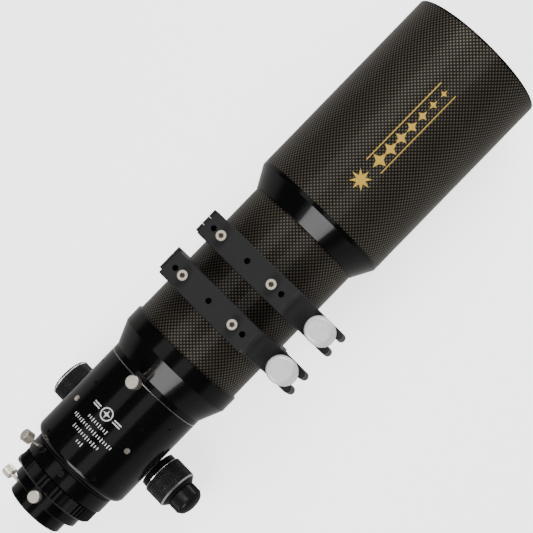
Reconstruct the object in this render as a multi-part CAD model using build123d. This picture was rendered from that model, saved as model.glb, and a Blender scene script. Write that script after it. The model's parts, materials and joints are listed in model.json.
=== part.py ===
from build123d import *
import os
from math import cos, hypot, pi, radians, sin, sqrt, tan

# Refractor telescope on two hinged tube rings, in millimetres.
# +X runs along the optical axis towards the objective, +Z is up and +Y is the hinge side
# of the rings. The origin is the middle of the bolt pattern under the ring bases.

# ---------------------------------------------------------------- driving sizes
APERTURE = 110.0
FOCAL_RATIO = 6.0
LENS_MARGIN = 1.5             # lens beyond the clear aperture, all round
LENS_TO_TUBE = 4.5            # outside of the tube beyond the lens, all round

TUBE_WALL = 2.5
TUBE_REAR = -90.0
TUBE_LENGTH = 290.0
BAFFLE_THICKNESS = 1.0
BAFFLE_COUNT = 3
BAFFLE_ROOM = 2.0             # baffle openings outside the light cone

RING_SPACING = 50.0           # between the middles of the two rings
RING_WIDTH = 27.0
RING_WALL = 8.2
FLAT_MARGIN = 8.5             # flats beyond their outer bolt holes
RING_EDGE = 0.8
RING_PAD = 4.5                # flats beyond the round outside of a ring
LINER_THICKNESS = 1.3
BOLT_SPACING = 88.0           # between the outer bolt holes of one ring
BOLT_THREAD = 6.0
BOLT_DEPTH = 10.0
CAP_SCREW_SPACING = 65.0
CAP_SCREW_HEAD = 10.0
CAP_SCREW_LENGTH = 14.0

EAR_MARGIN = 15.7             # tip of the clamp ears beyond the swing bolt
EAR_THICKNESS = 11.0
SPLIT_GAP = 0.5
CLAMP_BOLT = 8.0
CLAMP_EYE = 10.0
CLAMP_EYE_WIDTH = 9.2
CLAMP_PIN = 5.0
CLAMP_PIVOT_DROP = 5.5        # pivot pin below the split
CLAMP_KNOB = 27.3
CLAMP_KNOB_HEIGHT = 25.1
CLAMP_KNOB_ROOF = 4.0         # of the knob, over the end of its threaded bore
CLAMP_TUCK = 0.55             # knob's rim inside the ring's outside, where the ring curves away
CLAMP_FOOT = 14.0
CLAMP_FOOT_HEIGHT = 2.5
HINGE_OFFSET = 1.5            # hinge pin outside the round of the ring
HINGE_KNUCKLE = 14.0
HINGE_PIN = 4.0
KNUCKLE_WIDTH = 8.8

ADAPTER_OVERLAP = 13.1        # rear adapter over the end of the tube
ADAPTER_LIP = 2.2             # rear adapter's wall over the tube
ADAPTER_BAND = 3.5            # of the front land, behind the end of the tube
ADAPTER_CONE = 22.8
ADAPTER_NECK = 5.5
SPIGOT_WALL = 3.0             # of the spigot that the focuser turns on
LOCK_GROOVE = 1.0             # depth of the grooves that the lock screws bear in
FRONT_LIP = 8.2               # focuser wall that turns on the spigot
KEEPER_THICKNESS = 5.5
KEEPER_WALL = 3.2

FOCUSER_LIP_WALL = 3.0        # focuser's wall outside the keeper ring
FOCUSER_LENGTH = 104.1
FOCUSER_FILLET = 7.0
FOCUSER_WALL = 3.5            # over the relieved middle
FRONT_CHAMFER = 0.8
BEARING_LAND = 22.0
ROLLER_DIAMETER = 7.0
ROLLER_WIDTH = 4.0
ROLLER_ANGLE = 36.0
ROLLER_INSET = 9.7            # rear rollers from the focuser's rear face
ROLLER_MARGIN = 41.3          # focuser's length less the spacing of its rollers
AXLE_DIAMETER = 3.0
AXLE_LENGTH = 14.0
BODY_SCREW = 3.0
BODY_SCREW_HEAD = 5.8
BODY_SCREW_SINK = 1.2

DRAWTUBE_DIAMETER = 84.0
DRAWTUBE_WALL = 4.5
DRAWTUBE_RESERVE = 13.1       # drawtube ahead of the pinion at the end of its travel
FLANGE_RIM = 4.5              # flange outside the drawtube
FLANGE_THICKNESS = 2.4
FOCUS_TRAVEL = 75.0

GEAR_MODULE = 0.8
PINION_TEETH = 14
PINION_WIDTH = 7.5
RACK_STAND = 0.4              # rack's pitch line outside the drawtube
PINION_INSET = 43.9           # pinion in front of the focuser's rear face
TOOTH_BACKLASH = 0.2
PRESSURE_ANGLE = 20.0
RACK_WIDTH = 8.0
RACK_BASE = 1.9
RACK_FRONT_MARGIN = 3.0

SHAFT_DIAMETER = 6.0
BUSH_DIAMETER = 10.0
BUSH_LENGTH = 8.0
HOUSING_WIDTH = 50.0
HOUSING_LENGTH = 32.0
HOUSING_DEPTH = 11.0          # block below the pinion's axis
SADDLE_LENGTH = 42.0
SADDLE_THICKNESS = 4.0
SADDLE_HALF_ANGLE = 33.0
SLEEVE_DIAMETER = 15.0
HUB_CLEARANCE = 2.0           # knob hubs from the focuser's body
SADDLE_SCREW_HEAD = 5.5
SADDLE_SCREW_SINK = 2.0

COARSE_DIAMETER = 43.0
HUB_STEP = 2.0                # coarse grips outside their hubs
RIGHT_HUB_LENGTH = 7.4        # end of the shaft sleeve to the right grip
RIGHT_GRIP_LENGTH = 21.5
RIGHT_TAPER = 5.2
LEFT_HUB_LENGTH = 9.4
LEFT_GRIP_LENGTH = 23.5
LEFT_CHAMFER = 1.5
FINE_DIAMETER = 30.7
FINE_LENGTH = 12.0
FINE_DOME = 6.1
FINE_SHAFT = 5.0
BALL_DIAMETER = 5.9
BALL_COUNT = 3

COLLAR_WALL = 5.2             # camera rotator outside the drawtube's spigot
COLLAR_LENGTH = 15.0
ROTATOR_STEP = 1.0            # rotator's spigot inside the drawtube's outside
ROTATOR_SPIGOT_LENGTH = 12.0
ROTATOR_LOCK_INSET = 5.6
KNURLED_WALL = 8.7
KNURLED_LENGTH = 15.6
HOLDER_STEP = 1.65            # holder's collar outside its thread
HOLDER_LENGTH = 11.4
HOLDER_ROOM = 1.5             # holder's thread inside the drawtube's bore
BARREL_TWO_INCH = 50.8
EYEPIECE_WALL = 5.1           # eyepiece collar outside its barrel
EYEPIECE_COLLAR_LENGTH = 14.2
EYEPIECE_BARREL = 31.75
BARREL_LENGTH = 30.0
BARREL_CLEARANCE = 0.05
BRASS_THICKNESS = 1.2
BRASS_WIDTH = 6.0

THUMB_STEM = 3.4
THUMB_HEAD = 12.0
THUMB_HEAD_HEIGHT = 9.5
THUMB_STAND = 9.0             # head above the collar it is screwed into
LOCK_HEAD = 13.0
LOCK_HEAD_HEIGHT = 13.0
LOCK_STAND = 3.0

SHIELD_WALL = 2.0
SHIELD_OVERLAP = 0.41         # share of the tube's length that the shield covers, set for observing
SHIELD_CONE = 20.5
SHIELD_LAND = 4.3
SHIELD_LENGTH = 235.1         # conical ring, tube and rim together
SHIELD_LIP = 1.0
RIM_THICKNESS = 2.0
RIM_SPIGOT = 6.0
FELT_THICKNESS = 1.7
FELT_WIDTH = 16.0

GUIDE_BAND = 2.2              # felt round the counter cell's flange
CELL_FLANGE_RIM = 5.0         # counter cell's flange outside its sleeve
CELL_BARREL_WALL = 5.5
CELL_SLEEVE = 14.0            # counter cell behind the front of the tube
CELL_WALL = 2.5
MOUNT_CAP = 1.0               # counter cell ahead of the end of the tube
FLANGE_GAP = 1.0              # between the two cell flanges
FLANGE_PLATE = 5.0
SEAT_THICKNESS = 3.0
FLINT_EDGE = 14.0
CROWN_EDGE = 5.3
SPACER_THICKNESS = 1.0
SPACER_WIDTH = 1.0
CROWN_FRONT_CURVE = 0.606     # radii of curvature as shares of the focal length
CROWN_REAR_CURVE = 0.364
FLINT_FRONT_CURVE = 0.358
FLINT_REAR_CURVE = 1.364
KEEPER_RING_LENGTH = 4.0
CELL_LIP = 4.5
CELL_SCREW = 3.0

RUNNING_FIT = 0.05            # radial, a shaft or screw turning in its hole
MOVING_GAP = 0.3              # between faces that pass each other
SEAT_EDGE = 0.5               # small chamfer on turned edges

# ---------------------------------------------------------------- stations along the axis
FOCAL_LENGTH = APERTURE * FOCAL_RATIO
LENS_DIAMETER = APERTURE + 2 * LENS_MARGIN
CROWN_FRONT_RADIUS = CROWN_FRONT_CURVE * FOCAL_LENGTH
CROWN_REAR_RADIUS = CROWN_REAR_CURVE * FOCAL_LENGTH
FLINT_FRONT_RADIUS = FLINT_FRONT_CURVE * FOCAL_LENGTH
FLINT_REAR_RADIUS = FLINT_REAR_CURVE * FOCAL_LENGTH
TUBE_R = LENS_DIAMETER / 2 + LENS_TO_TUBE
RING_BORE = TUBE_R + LINER_THICKNESS
RING_OUTER = RING_BORE + RING_WALL
AXIS_HEIGHT = RING_OUTER + RING_PAD         # optical axis above the flats of the ring bases
RING_FLAT = BOLT_SPACING + 2 * FLAT_MARGIN
HINGE_REACH = RING_OUTER + HINGE_OFFSET
CLAMP_REACH = RING_OUTER + CLAMP_KNOB / 2 - CLAMP_TUCK
EAR_REACH = CLAMP_REACH + EAR_MARGIN
TUBE_INNER = TUBE_R - TUBE_WALL
TUBE_FRONT = TUBE_REAR + TUBE_LENGTH
ADAPTER_FRONT = TUBE_REAR + ADAPTER_OVERLAP
CONE_FRONT = TUBE_REAR - ADAPTER_BAND
CONE_REAR = CONE_FRONT - ADAPTER_CONE
ADAPTER_REAR = CONE_REAR - ADAPTER_NECK
FOCUSER_FRONT = ADAPTER_REAR - MOVING_GAP
FOCUSER_REAR = FOCUSER_FRONT - FOCUSER_LENGTH
LIP_REAR = FOCUSER_FRONT - FRONT_LIP
KEEPER_FRONT = LIP_REAR - MOVING_GAP
SPIGOT_REAR = KEEPER_FRONT - KEEPER_THICKNESS
LOCK_X = FOCUSER_FRONT - FRONT_LIP / 2
FLANGE_FRONT = FOCUSER_REAR - MOVING_GAP
FLANGE_REAR = FLANGE_FRONT - FLANGE_THICKNESS
DRAWTUBE_FRONT = FLANGE_FRONT + PINION_INSET + FOCUS_TRAVEL + DRAWTUBE_RESERVE
PINION_X = FOCUSER_REAR + PINION_INSET
ROLLER_REAR_X = FOCUSER_REAR + ROLLER_INSET
ROLLER_FRONT_X = ROLLER_REAR_X + FOCUSER_LENGTH - ROLLER_MARGIN
COLLAR_FRONT = FLANGE_REAR - MOVING_GAP
COLLAR_REAR = COLLAR_FRONT - COLLAR_LENGTH
ROTATOR_SPIGOT_REAR = FLANGE_REAR - ROTATOR_SPIGOT_LENGTH
KNURLED_REAR = COLLAR_REAR - KNURLED_LENGTH
HOLDER_REAR = KNURLED_REAR - HOLDER_LENGTH
EYEPIECE_FRONT = HOLDER_REAR - MOVING_GAP
EYEPIECE_REAR = EYEPIECE_FRONT - EYEPIECE_COLLAR_LENGTH
SHIELD_REAR = TUBE_FRONT - SHIELD_OVERLAP * TUBE_LENGTH
SHIELD_FRONT = SHIELD_REAR + SHIELD_LENGTH
SHIELD_TUBE_REAR = SHIELD_REAR + SHIELD_CONE + SHIELD_LAND
MOUNT_FRONT = TUBE_FRONT + MOUNT_CAP
MOUNT_REAR = MOUNT_FRONT - FLANGE_PLATE
PLATE_REAR = MOUNT_FRONT + FLANGE_GAP
PLATE_FRONT = PLATE_REAR + FLANGE_PLATE
LENS_SEAT = PLATE_REAR + SEAT_THICKNESS      # ledge that the rear lens rests on
DRAWTUBE_R = DRAWTUBE_DIAMETER / 2
DRAWTUBE_INNER = DRAWTUBE_R - DRAWTUBE_WALL
PITCH_R = GEAR_MODULE * PINION_TEETH / 2
PITCH_LINE = DRAWTUBE_R + RACK_STAND        # rack's pitch line below the optical axis
PINION_DROP = PITCH_LINE + PITCH_R          # pinion below the optical axis
RACK_TIP = PITCH_LINE + GEAR_MODULE
RACK_ROOT = PITCH_LINE - 1.25 * GEAR_MODULE
RACK_SEAT = RACK_ROOT - RACK_BASE
SPIGOT_BORE = hypot(RACK_TIP, RACK_WIDTH / 2) + 2 * MOVING_GAP      # radius that the rack passes through
SPIGOT_R = SPIGOT_BORE + SPIGOT_WALL
FOCUSER_R = SPIGOT_R + KEEPER_WALL + MOVING_GAP + FOCUSER_LIP_WALL
RELIEF_R = FOCUSER_R - FOCUSER_WALL
HUB_R = COARSE_DIAMETER / 2 - HUB_STEP
SLEEVE_REACH = sqrt((FOCUSER_R + HUB_CLEARANCE) ** 2 - (PINION_DROP - HUB_R) ** 2)
RIGHT_GRIP_START = SLEEVE_REACH + RIGHT_HUB_LENGTH
LEFT_GRIP_START = SLEEVE_REACH + LEFT_HUB_LENGTH
FLANGE_R = DRAWTUBE_R + FLANGE_RIM
ROTATOR_SPIGOT = DRAWTUBE_DIAMETER - 2 * ROTATOR_STEP
COLLAR_DIAMETER = ROTATOR_SPIGOT + 2 * COLLAR_WALL
HOLDER_THREAD = 2 * (DRAWTUBE_INNER - HOLDER_ROOM)
KNURLED_DIAMETER = HOLDER_THREAD + 2 * KNURLED_WALL
HOLDER_DIAMETER = HOLDER_THREAD + 2 * HOLDER_STEP
EYEPIECE_COLLAR = BARREL_TWO_INCH + 2 * EYEPIECE_WALL
CELL_SLEEVE_R = TUBE_R + CELL_WALL
CELL_FLANGE_R = CELL_SLEEVE_R + CELL_FLANGE_RIM
CELL_BARREL_R = LENS_DIAMETER / 2 + CELL_BARREL_WALL
SHIELD_INNER = CELL_FLANGE_R + GUIDE_BAND + MOVING_GAP
SHIELD_R = SHIELD_INNER + SHIELD_WALL
RING_STATIONS = {"rear": -RING_SPACING / 2, "front": RING_SPACING / 2}
RING_BOLTS = (-BOLT_SPACING / 2, 0.0, BOLT_SPACING / 2)
SLOT_WIDTH = CLAMP_EYE_WIDTH + 2 * MOVING_GAP


# ---------------------------------------------------------------- shapes used throughout
def turned(*outline):
    """Piece turned about the optical axis from (x, radius) corners."""
    face = make_face(Polyline(*[(x, 0, radius) for x, radius in outline], close=True))
    return Pos(0, 0, AXIS_HEIGHT) * revolve(face, Axis.X)


def sleeve(x_rear, x_front, outer, inner, edge=0.0):
    """Plain ring about the optical axis, with both outer edges broken if an edge is given."""
    corners = [(x_rear, outer), (x_front, outer)]
    if edge:
        corners = [(x_rear, outer - edge), (x_rear + edge, outer),
                   (x_front - edge, outer), (x_front, outer - edge)]
    return turned((x_rear, inner), *corners, (x_front, inner))


def around(x, angle, radius=0.0):
    """Place whose Z points away from the optical axis; the angle runs from the top towards +Y."""
    return Pos(x, 0, AXIS_HEIGHT) * Rot(-angle, 0, 0) * Pos(0, 0, radius)


def spun(*outline):
    """Piece turned about its own Z axis from (radius, height) corners."""
    face = make_face(Polyline(*[(radius, 0, height) for radius, height in outline], close=True))
    return revolve(face, Axis.Z)


def rod(radius, low, high):
    """Cylinder on its own Z axis between two heights."""
    return Pos(0, 0, low) * Cylinder(radius, high - low, align=(Align.CENTER, Align.CENTER, Align.MIN))


def block(low, high):
    """Box between two opposite corners."""
    sides = [end - start for start, end in zip(low, high)]
    return Pos(*low) * Box(*sides, align=(Align.MIN, Align.MIN, Align.MIN))


def cross_rod(radius, y_low, y_high, x=0.0, z=0.0):
    """Cylinder along Y between two stations."""
    return Pos(x, y_low, z) * Rot(-90, 0, 0) * rod(radius, 0, y_high - y_low)


def long_rod(radius, x_low, x_high, y=0.0, z=0.0):
    """Cylinder along X between two stations."""
    return Pos(x_low, y, z) * Rot(0, 90, 0) * rod(radius, 0, x_high - x_low)


def ridged(radius, depth, count, low, high, bevel):
    """Grip with straight ridges about its own Z axis, its two rims bevelled."""
    corners = [((radius - depth * (step % 2)) * cos(pi * step / count),
                (radius - depth * (step % 2)) * sin(pi * step / count)) for step in range(2 * count)]
    grip = Pos(0, 0, low) * extrude(make_face(Polyline(*corners, close=True)), high - low)
    rims = spun((0, low), (radius - bevel, low), (radius, low + bevel),
                (radius, high - bevel), (radius - bevel, high), (0, high))
    return grip & rims


def hex_socket(across_flats, depth, top):
    """Hexagonal key socket sunk from a height on the piece's own Z axis."""
    hexagon = RegularPolygon(across_flats / sqrt(3), 6)
    return Pos(0, 0, top - depth) * extrude(hexagon, depth)


def cap_screw(thread, head, length):
    """Socket cap screw whose head sits on its own Z = 0."""
    screw = rod(head / 2, 0, thread) + rod(thread / 2, -length, 0)
    return screw - hex_socket(0.8 * thread, 0.55 * thread, thread)


def set_screw(thread, tip, top):
    """Headless socket screw between two heights on its own Z axis."""
    return rod(thread / 2, tip, top) - hex_socket(0.5 * thread, 0.6 * thread, top)


def thumb_screw(head, head_height, tip, head_base):
    """Knurled thumb screw along its own Z axis, measured from the optical axis."""
    grip = ridged(head / 2, 0.35, 36, head_base, head_base + head_height, 0.8)
    return rod(THUMB_STEM / 2, tip, head_base) + grip


def group(pieces):
    """Several separate solids kept in one node."""
    return Compound([solid for piece in pieces for solid in piece.solids()])


def lock_groove(x, radius):
    """Shallow groove round a spigot for the tip of a lock screw."""
    floor = THUMB_STEM / 2 + MOVING_GAP
    mouth = floor + LOCK_GROOVE / 2
    return turned((x - mouth, radius + 1), (x - mouth, radius), (x - floor, radius - LOCK_GROOVE),
                  (x + floor, radius - LOCK_GROOVE), (x + mouth, radius), (x + mouth, radius + 1))


# ---------------------------------------------------------------- optical tube
def cone_radius(x):
    """Clear radius of the light cone at a station, with a little room."""
    focus = LENS_SEAT + FLINT_EDGE - FOCAL_LENGTH
    return (APERTURE / 2) * (x - focus) / FOCAL_LENGTH + BAFFLE_ROOM


def make_main_tube():
    return sleeve(TUBE_REAR, TUBE_FRONT, TUBE_R, TUBE_INNER)


def make_baffles():
    pitch = TUBE_LENGTH / (BAFFLE_COUNT + 1)
    stations = [TUBE_REAR + pitch * (number + 1) for number in range(BAFFLE_COUNT)]
    rim = 8 * BAFFLE_THICKNESS
    return group([turned((x, cone_radius(x)), (x, TUBE_INNER), (x + rim, TUBE_INNER),
                         (x + rim, TUBE_INNER - BAFFLE_THICKNESS),
                         (x + BAFFLE_THICKNESS, TUBE_INNER - BAFFLE_THICKNESS),
                         (x + BAFFLE_THICKNESS, cone_radius(x) + 0.5)) for x in stations])


def make_rear_adapter():
    """Cone from the tube down to the spigot that the focuser turns on."""
    land = TUBE_R + ADAPTER_LIP
    spigot_bore = SPIGOT_BORE
    body = turned(
        (TUBE_REAR, TUBE_R), (ADAPTER_FRONT, TUBE_R), (ADAPTER_FRONT, land - SEAT_EDGE),
        (ADAPTER_FRONT - SEAT_EDGE, land), (CONE_FRONT, land), (CONE_REAR, FOCUSER_R),
        (ADAPTER_REAR, FOCUSER_R), (ADAPTER_REAR, SPIGOT_R), (SPIGOT_REAR, SPIGOT_R),
        (SPIGOT_REAR, spigot_bore), (CONE_REAR, spigot_bore),
        (TUBE_REAR, TUBE_INNER - 1.5))
    return body - lock_groove(LOCK_X, SPIGOT_R)


def make_rotation_keeper():
    """Ring on the end of the spigot that keeps the turning focuser on it."""
    ring = sleeve(SPIGOT_REAR, KEEPER_FRONT, SPIGOT_R + KEEPER_WALL, SPIGOT_R, 0.3)
    key = RACK_WIDTH / 2
    slots = [Pos(SPIGOT_REAR, 0, AXIS_HEIGHT) * Rot(turn, 0, 0) * Pos(0, 0, SPIGOT_R + KEEPER_WALL)
             * Box(3, key, 2) for turn in range(0, 360, 90)]
    return ring - slots


# ---------------------------------------------------------------- objective
def make_cell_mount():
    """Counter cell on the front of the tube, with the flange that the lens cell is screwed to."""
    body = turned(
        (TUBE_FRONT - CELL_SLEEVE, TUBE_R), (TUBE_FRONT, TUBE_R), (TUBE_FRONT, TUBE_INNER - 1),
        (MOUNT_FRONT, TUBE_INNER - 1), (MOUNT_FRONT, CELL_FLANGE_R),
        (MOUNT_REAR, CELL_FLANGE_R), (MOUNT_REAR, CELL_SLEEVE_R), (TUBE_FRONT - CELL_SLEEVE, CELL_SLEEVE_R))
    return body - cell_screws(pull_only=True)


def make_cell_felt():
    """Felt band on the counter cell that guides the dew shield."""
    return sleeve(MOUNT_REAR, MOUNT_FRONT, SHIELD_INNER - MOVING_GAP, CELL_FLANGE_R)


def cell_screws(pull_only=False):
    """Push and pull screws of the lens cell, in three pairs."""
    reach = (CELL_FLANGE_R + CELL_BARREL_R) / 2
    screws = []
    for pair in range(3):
        for side in ((-1,) if pull_only else (-1, 1)):
            tip = MOUNT_REAR + 1 if side < 0 else MOUNT_FRONT
            place = Pos(0, 0, AXIS_HEIGHT) * Rot(120 * pair + 5 * side, 0, 0) * Pos(0, 0, reach)
            screws.append(place * long_rod(CELL_SCREW / 2, tip, PLATE_FRONT + 0.4))
    return screws


def make_lens_cell():
    front = keeper_rear() + KEEPER_RING_LENGTH + CELL_LIP
    body = turned(
        (PLATE_REAR, APERTURE / 2), (PLATE_REAR, CELL_FLANGE_R), (PLATE_FRONT, CELL_FLANGE_R),
        (PLATE_FRONT, CELL_BARREL_R), (front - SEAT_EDGE, CELL_BARREL_R),
        (front, CELL_BARREL_R - SEAT_EDGE), (front, LENS_DIAMETER / 2),
        (LENS_SEAT, LENS_DIAMETER / 2), (LENS_SEAT, APERTURE / 2))
    return body - cell_screws()


def lens_point(x_edge, curve, radius):
    """Point of a lens surface; a positive radius of curvature bulges towards +X."""
    edge = LENS_DIAMETER / 2
    depth = sqrt(curve ** 2 - radius ** 2) - sqrt(curve ** 2 - edge ** 2)
    return (x_edge + (depth if curve > 0 else -depth), 0, radius)


def lens(rear, front, rear_curve, front_curve):
    """Lens between two edge stations, with a radius of curvature for each face."""
    edge = LENS_DIAMETER / 2
    rear_points = [lens_point(rear, rear_curve, radius) for radius in (0, edge / 2, edge)]
    front_points = [lens_point(front, front_curve, radius) for radius in (edge, edge / 2, 0)]
    outline = [ThreePointArc(*rear_points), Line(rear_points[-1], front_points[0]),
               ThreePointArc(*front_points), Line(front_points[-1], rear_points[0])]
    return Pos(0, 0, AXIS_HEIGHT) * revolve(make_face(Curve() + outline), Axis.X)


def flint_rear():
    """Rear edge of the rear lens, whose curved face rests on the inner corner of the ledge."""
    return LENS_SEAT - lens_point(0, -FLINT_REAR_RADIUS, APERTURE / 2)[0]


def crown_rear():
    return flint_rear() + FLINT_EDGE + SPACER_THICKNESS


def keeper_rear():
    """Rear face of the retaining ring, whose inner corner rests on the front lens."""
    return lens_point(crown_rear() + CROWN_EDGE, CROWN_FRONT_RADIUS, APERTURE / 2)[0]


def make_flint_lens():
    rear = flint_rear()
    return lens(rear, rear + FLINT_EDGE, -FLINT_REAR_RADIUS, -FLINT_FRONT_RADIUS)


def make_crown_lens():
    rear = crown_rear()
    return lens(rear, rear + CROWN_EDGE, -CROWN_REAR_RADIUS, CROWN_FRONT_RADIUS)


def make_lens_spacer():
    """Thin ring between the lenses, shaped to both of their faces."""
    blank = sleeve(crown_rear() - 2 * SPACER_THICKNESS, crown_rear(), LENS_DIAMETER / 2,
                   LENS_DIAMETER / 2 - SPACER_WIDTH)
    return blank - make_crown_lens() - make_flint_lens()


def make_lens_keeper():
    """Threaded ring that holds both lenses in the cell, with two spanner slots."""
    rear = keeper_rear()
    front = rear + KEEPER_RING_LENGTH
    ring = sleeve(rear, front, LENS_DIAMETER / 2, APERTURE / 2)
    slots = [Pos(front, side * (APERTURE + LENS_DIAMETER) / 4, AXIS_HEIGHT) * Box(2, 3, 2.4)
             for side in (-1, 1)]
    return ring - slots


# ---------------------------------------------------------------- tube rings
def ring_half(above):
    """One half of a tube ring about X, before its ears, knuckles and bolt holes."""
    side = 1 if above else -1
    flat = Pos(0, side * AXIS_HEIGHT / 2) * Rectangle(RING_FLAT, AXIS_HEIGHT)
    keep = Pos(0, side * (AXIS_HEIGHT + SPLIT_GAP) / 2) * Rectangle(3 * RING_OUTER, AXIS_HEIGHT - SPLIT_GAP)
    outline = (Circle(RING_OUTER) + flat) & keep
    body = extrude(Plane.YZ * outline, RING_WIDTH / 2, both=True)
    body = chamfer(body.faces().filter_by(Axis.X).edges(), RING_EDGE)
    return body


def clamp_ear(above):
    """Forked ear that the swing bolt lies in."""
    prong = (RING_WIDTH - SLOT_WIDTH) / 4
    prong_y = (RING_WIDTH + SLOT_WIDTH) / 4
    tip = -EAR_REACH + prong
    root = -(CLAMP_REACH - CLAMP_EYE / 2 - MOVING_GAP)
    plan = Pos(0, (root - RING_BORE) / 2) * Rectangle(RING_WIDTH, abs(root + RING_BORE))
    for way in (-1, 1):
        plan += Pos(way * prong_y, (tip + root) / 2) * Rectangle(2 * prong, abs(tip - root))
        plan += Pos(way * prong_y, tip) * Circle(prong)
    height = EAR_THICKNESS - SPLIT_GAP / 2
    base = SPLIT_GAP / 2 if above else -EAR_THICKNESS
    return Pos(0, 0, base) * extrude(plan, height)


def knuckles(stations, radius):
    """Hinge knuckles about the pin, one for each (from, to) pair of stations."""
    return [long_rod(radius, low, high, y=HINGE_REACH) for low, high in stations]


def make_ring_half(above):
    """Finished half ring about X, still at the origin."""
    side = 1 if above else -1
    middle = KNUCKLE_WIDTH / 2
    centre = [(-middle, middle)]
    outer = [(-RING_WIDTH / 2, -middle - MOVING_GAP), (middle + MOVING_GAP, RING_WIDTH / 2)]
    own, other = (outer, centre) if above else (centre, outer)
    relief = [(low - MOVING_GAP, high + MOVING_GAP) for low, high in other]
    body = ring_half(above) + clamp_ear(above)
    body = body - knuckles(relief, HINGE_KNUCKLE / 2 + MOVING_GAP) + knuckles(own, HINGE_KNUCKLE / 2)
    body = body - long_rod(RING_BORE, -RING_WIDTH, RING_WIDTH)
    body = body - long_rod(HINGE_PIN / 2, -RING_WIDTH, RING_WIDTH, y=HINGE_REACH)
    deep = BOLT_DEPTH
    for y in RING_BOLTS:
        body -= Pos(0, y, side * (AXIS_HEIGHT - deep / 2)) * Cylinder(BOLT_THREAD / 2, deep)
    if above:
        for place in cap_screw_places():
            body -= place * rod(BOLT_THREAD / 2, -CAP_SCREW_LENGTH, 1)
    else:
        body -= long_rod(CLAMP_PIN / 2, -RING_WIDTH, RING_WIDTH, y=-CLAMP_REACH, z=-CLAMP_PIVOT_DROP)
    return body


def cap_screw_places():
    return [Pos(0, side * CAP_SCREW_SPACING / 2, AXIS_HEIGHT) for side in (-1, 1)]


def at_ring(x):
    """Place of a ring's own frame on the optical tube."""
    return Pos(x, 0, AXIS_HEIGHT)


def make_ring_liners():
    half = RING_WIDTH / 2
    return group([sleeve(x - half, x + half, RING_BORE, TUBE_R) for x in RING_STATIONS.values()])


def make_hinge_pins():
    half = RING_WIDTH / 2
    return group([at_ring(x) * long_rod(HINGE_PIN / 2, -half, half, y=HINGE_REACH)
                  for x in RING_STATIONS.values()])


def make_cap_screws():
    screw = cap_screw(BOLT_THREAD, CAP_SCREW_HEAD, CAP_SCREW_LENGTH)
    return group([at_ring(x) * place * screw for x in RING_STATIONS.values()
                  for place in cap_screw_places()])


def make_pivot_pins():
    half = RING_WIDTH / 2 - 1
    return group([at_ring(x) * long_rod(CLAMP_PIN / 2, -half, half, y=-CLAMP_REACH, z=-CLAMP_PIVOT_DROP)
                  for x in RING_STATIONS.values()])


def clamp_place(x):
    """Place of the swing bolt's axis at the height of the ring's split."""
    return Pos(x, -CLAMP_REACH, AXIS_HEIGHT)


def make_clamp_bolt(x):
    foot = EAR_THICKNESS + MOVING_GAP
    half = CLAMP_EYE_WIDTH / 2
    eye = long_rod(CLAMP_EYE / 2, -half, half, z=-CLAMP_PIVOT_DROP)
    end = foot + CLAMP_FOOT_HEIGHT + CLAMP_KNOB_HEIGHT - CLAMP_KNOB_ROOF - MOVING_GAP
    shank = rod(CLAMP_BOLT / 2, -CLAMP_PIVOT_DROP, end)
    hole = long_rod(CLAMP_PIN / 2 + RUNNING_FIT, -half, half, z=-CLAMP_PIVOT_DROP)
    return clamp_place(x) * (eye + shank - hole)


def make_clamp_knob(x):
    """Knob on a small foot, with a shallow recess in its top."""
    foot = EAR_THICKNESS + MOVING_GAP
    base = foot + CLAMP_FOOT_HEIGHT
    top = base + CLAMP_KNOB_HEIGHT
    knob = ridged(CLAMP_KNOB / 2, 0.3, 72, base, top, 1.4) + rod(CLAMP_FOOT / 2, foot, base)
    recess = spun((0, top), (CLAMP_KNOB / 2 - 2.6, top), (CLAMP_KNOB / 2 - 3.4, top - 1.6), (0, top - 1.6))
    bore = rod(CLAMP_BOLT / 2 + RUNNING_FIT, foot, top - CLAMP_KNOB_ROOF)
    return clamp_place(x) * (knob - recess - bore)


# ---------------------------------------------------------------- dew shield
def make_shield_rear_ring():
    """Conical ring that slides on the tube behind the shield."""
    bore = TUBE_R + MOVING_GAP
    outer = SHIELD_R
    felt_rear = SHIELD_TUBE_REAR - FELT_WIDTH
    return turned(
        (SHIELD_REAR, bore), (SHIELD_REAR, bore + SHIELD_LIP), (SHIELD_REAR + 1, bore + SHIELD_LIP),
        (SHIELD_REAR + SHIELD_CONE, outer), (SHIELD_TUBE_REAR, outer), (SHIELD_TUBE_REAR, SHIELD_INNER),
        (SHIELD_TUBE_REAR + RIM_SPIGOT, SHIELD_INNER), (SHIELD_TUBE_REAR + RIM_SPIGOT, SHIELD_INNER - 2),
        (SHIELD_TUBE_REAR, bore + FELT_THICKNESS), (felt_rear, bore + FELT_THICKNESS), (felt_rear, bore))


def make_shield_felt():
    bore = TUBE_R + MOVING_GAP
    return sleeve(SHIELD_TUBE_REAR - FELT_WIDTH, SHIELD_TUBE_REAR, bore + FELT_THICKNESS, bore)


def make_shield_tube():
    return sleeve(SHIELD_TUBE_REAR, SHIELD_FRONT - RIM_THICKNESS, SHIELD_R, SHIELD_INNER)


def make_shield_rim():
    outer, lip = SHIELD_R, SHIELD_INNER - 1.2
    seat = SHIELD_FRONT - RIM_THICKNESS
    return turned((seat - RIM_SPIGOT, lip), (seat - RIM_SPIGOT, SHIELD_INNER), (seat, SHIELD_INNER),
                  (seat, outer), (SHIELD_FRONT - SEAT_EDGE, outer), (SHIELD_FRONT, outer - SEAT_EDGE),
                  (SHIELD_FRONT, lip))


# ---------------------------------------------------------------- focuser
def roller_places():
    """Place of each drawtube roller: its name and its frame on the optical axis."""
    ends = {"rear": ROLLER_REAR_X, "front": ROLLER_FRONT_X}
    sides = {"right": -ROLLER_ANGLE, "left": ROLLER_ANGLE}
    return {f"{end}_{side}": around(x, angle) for end, x in ends.items() for side, angle in sides.items()}


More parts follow.
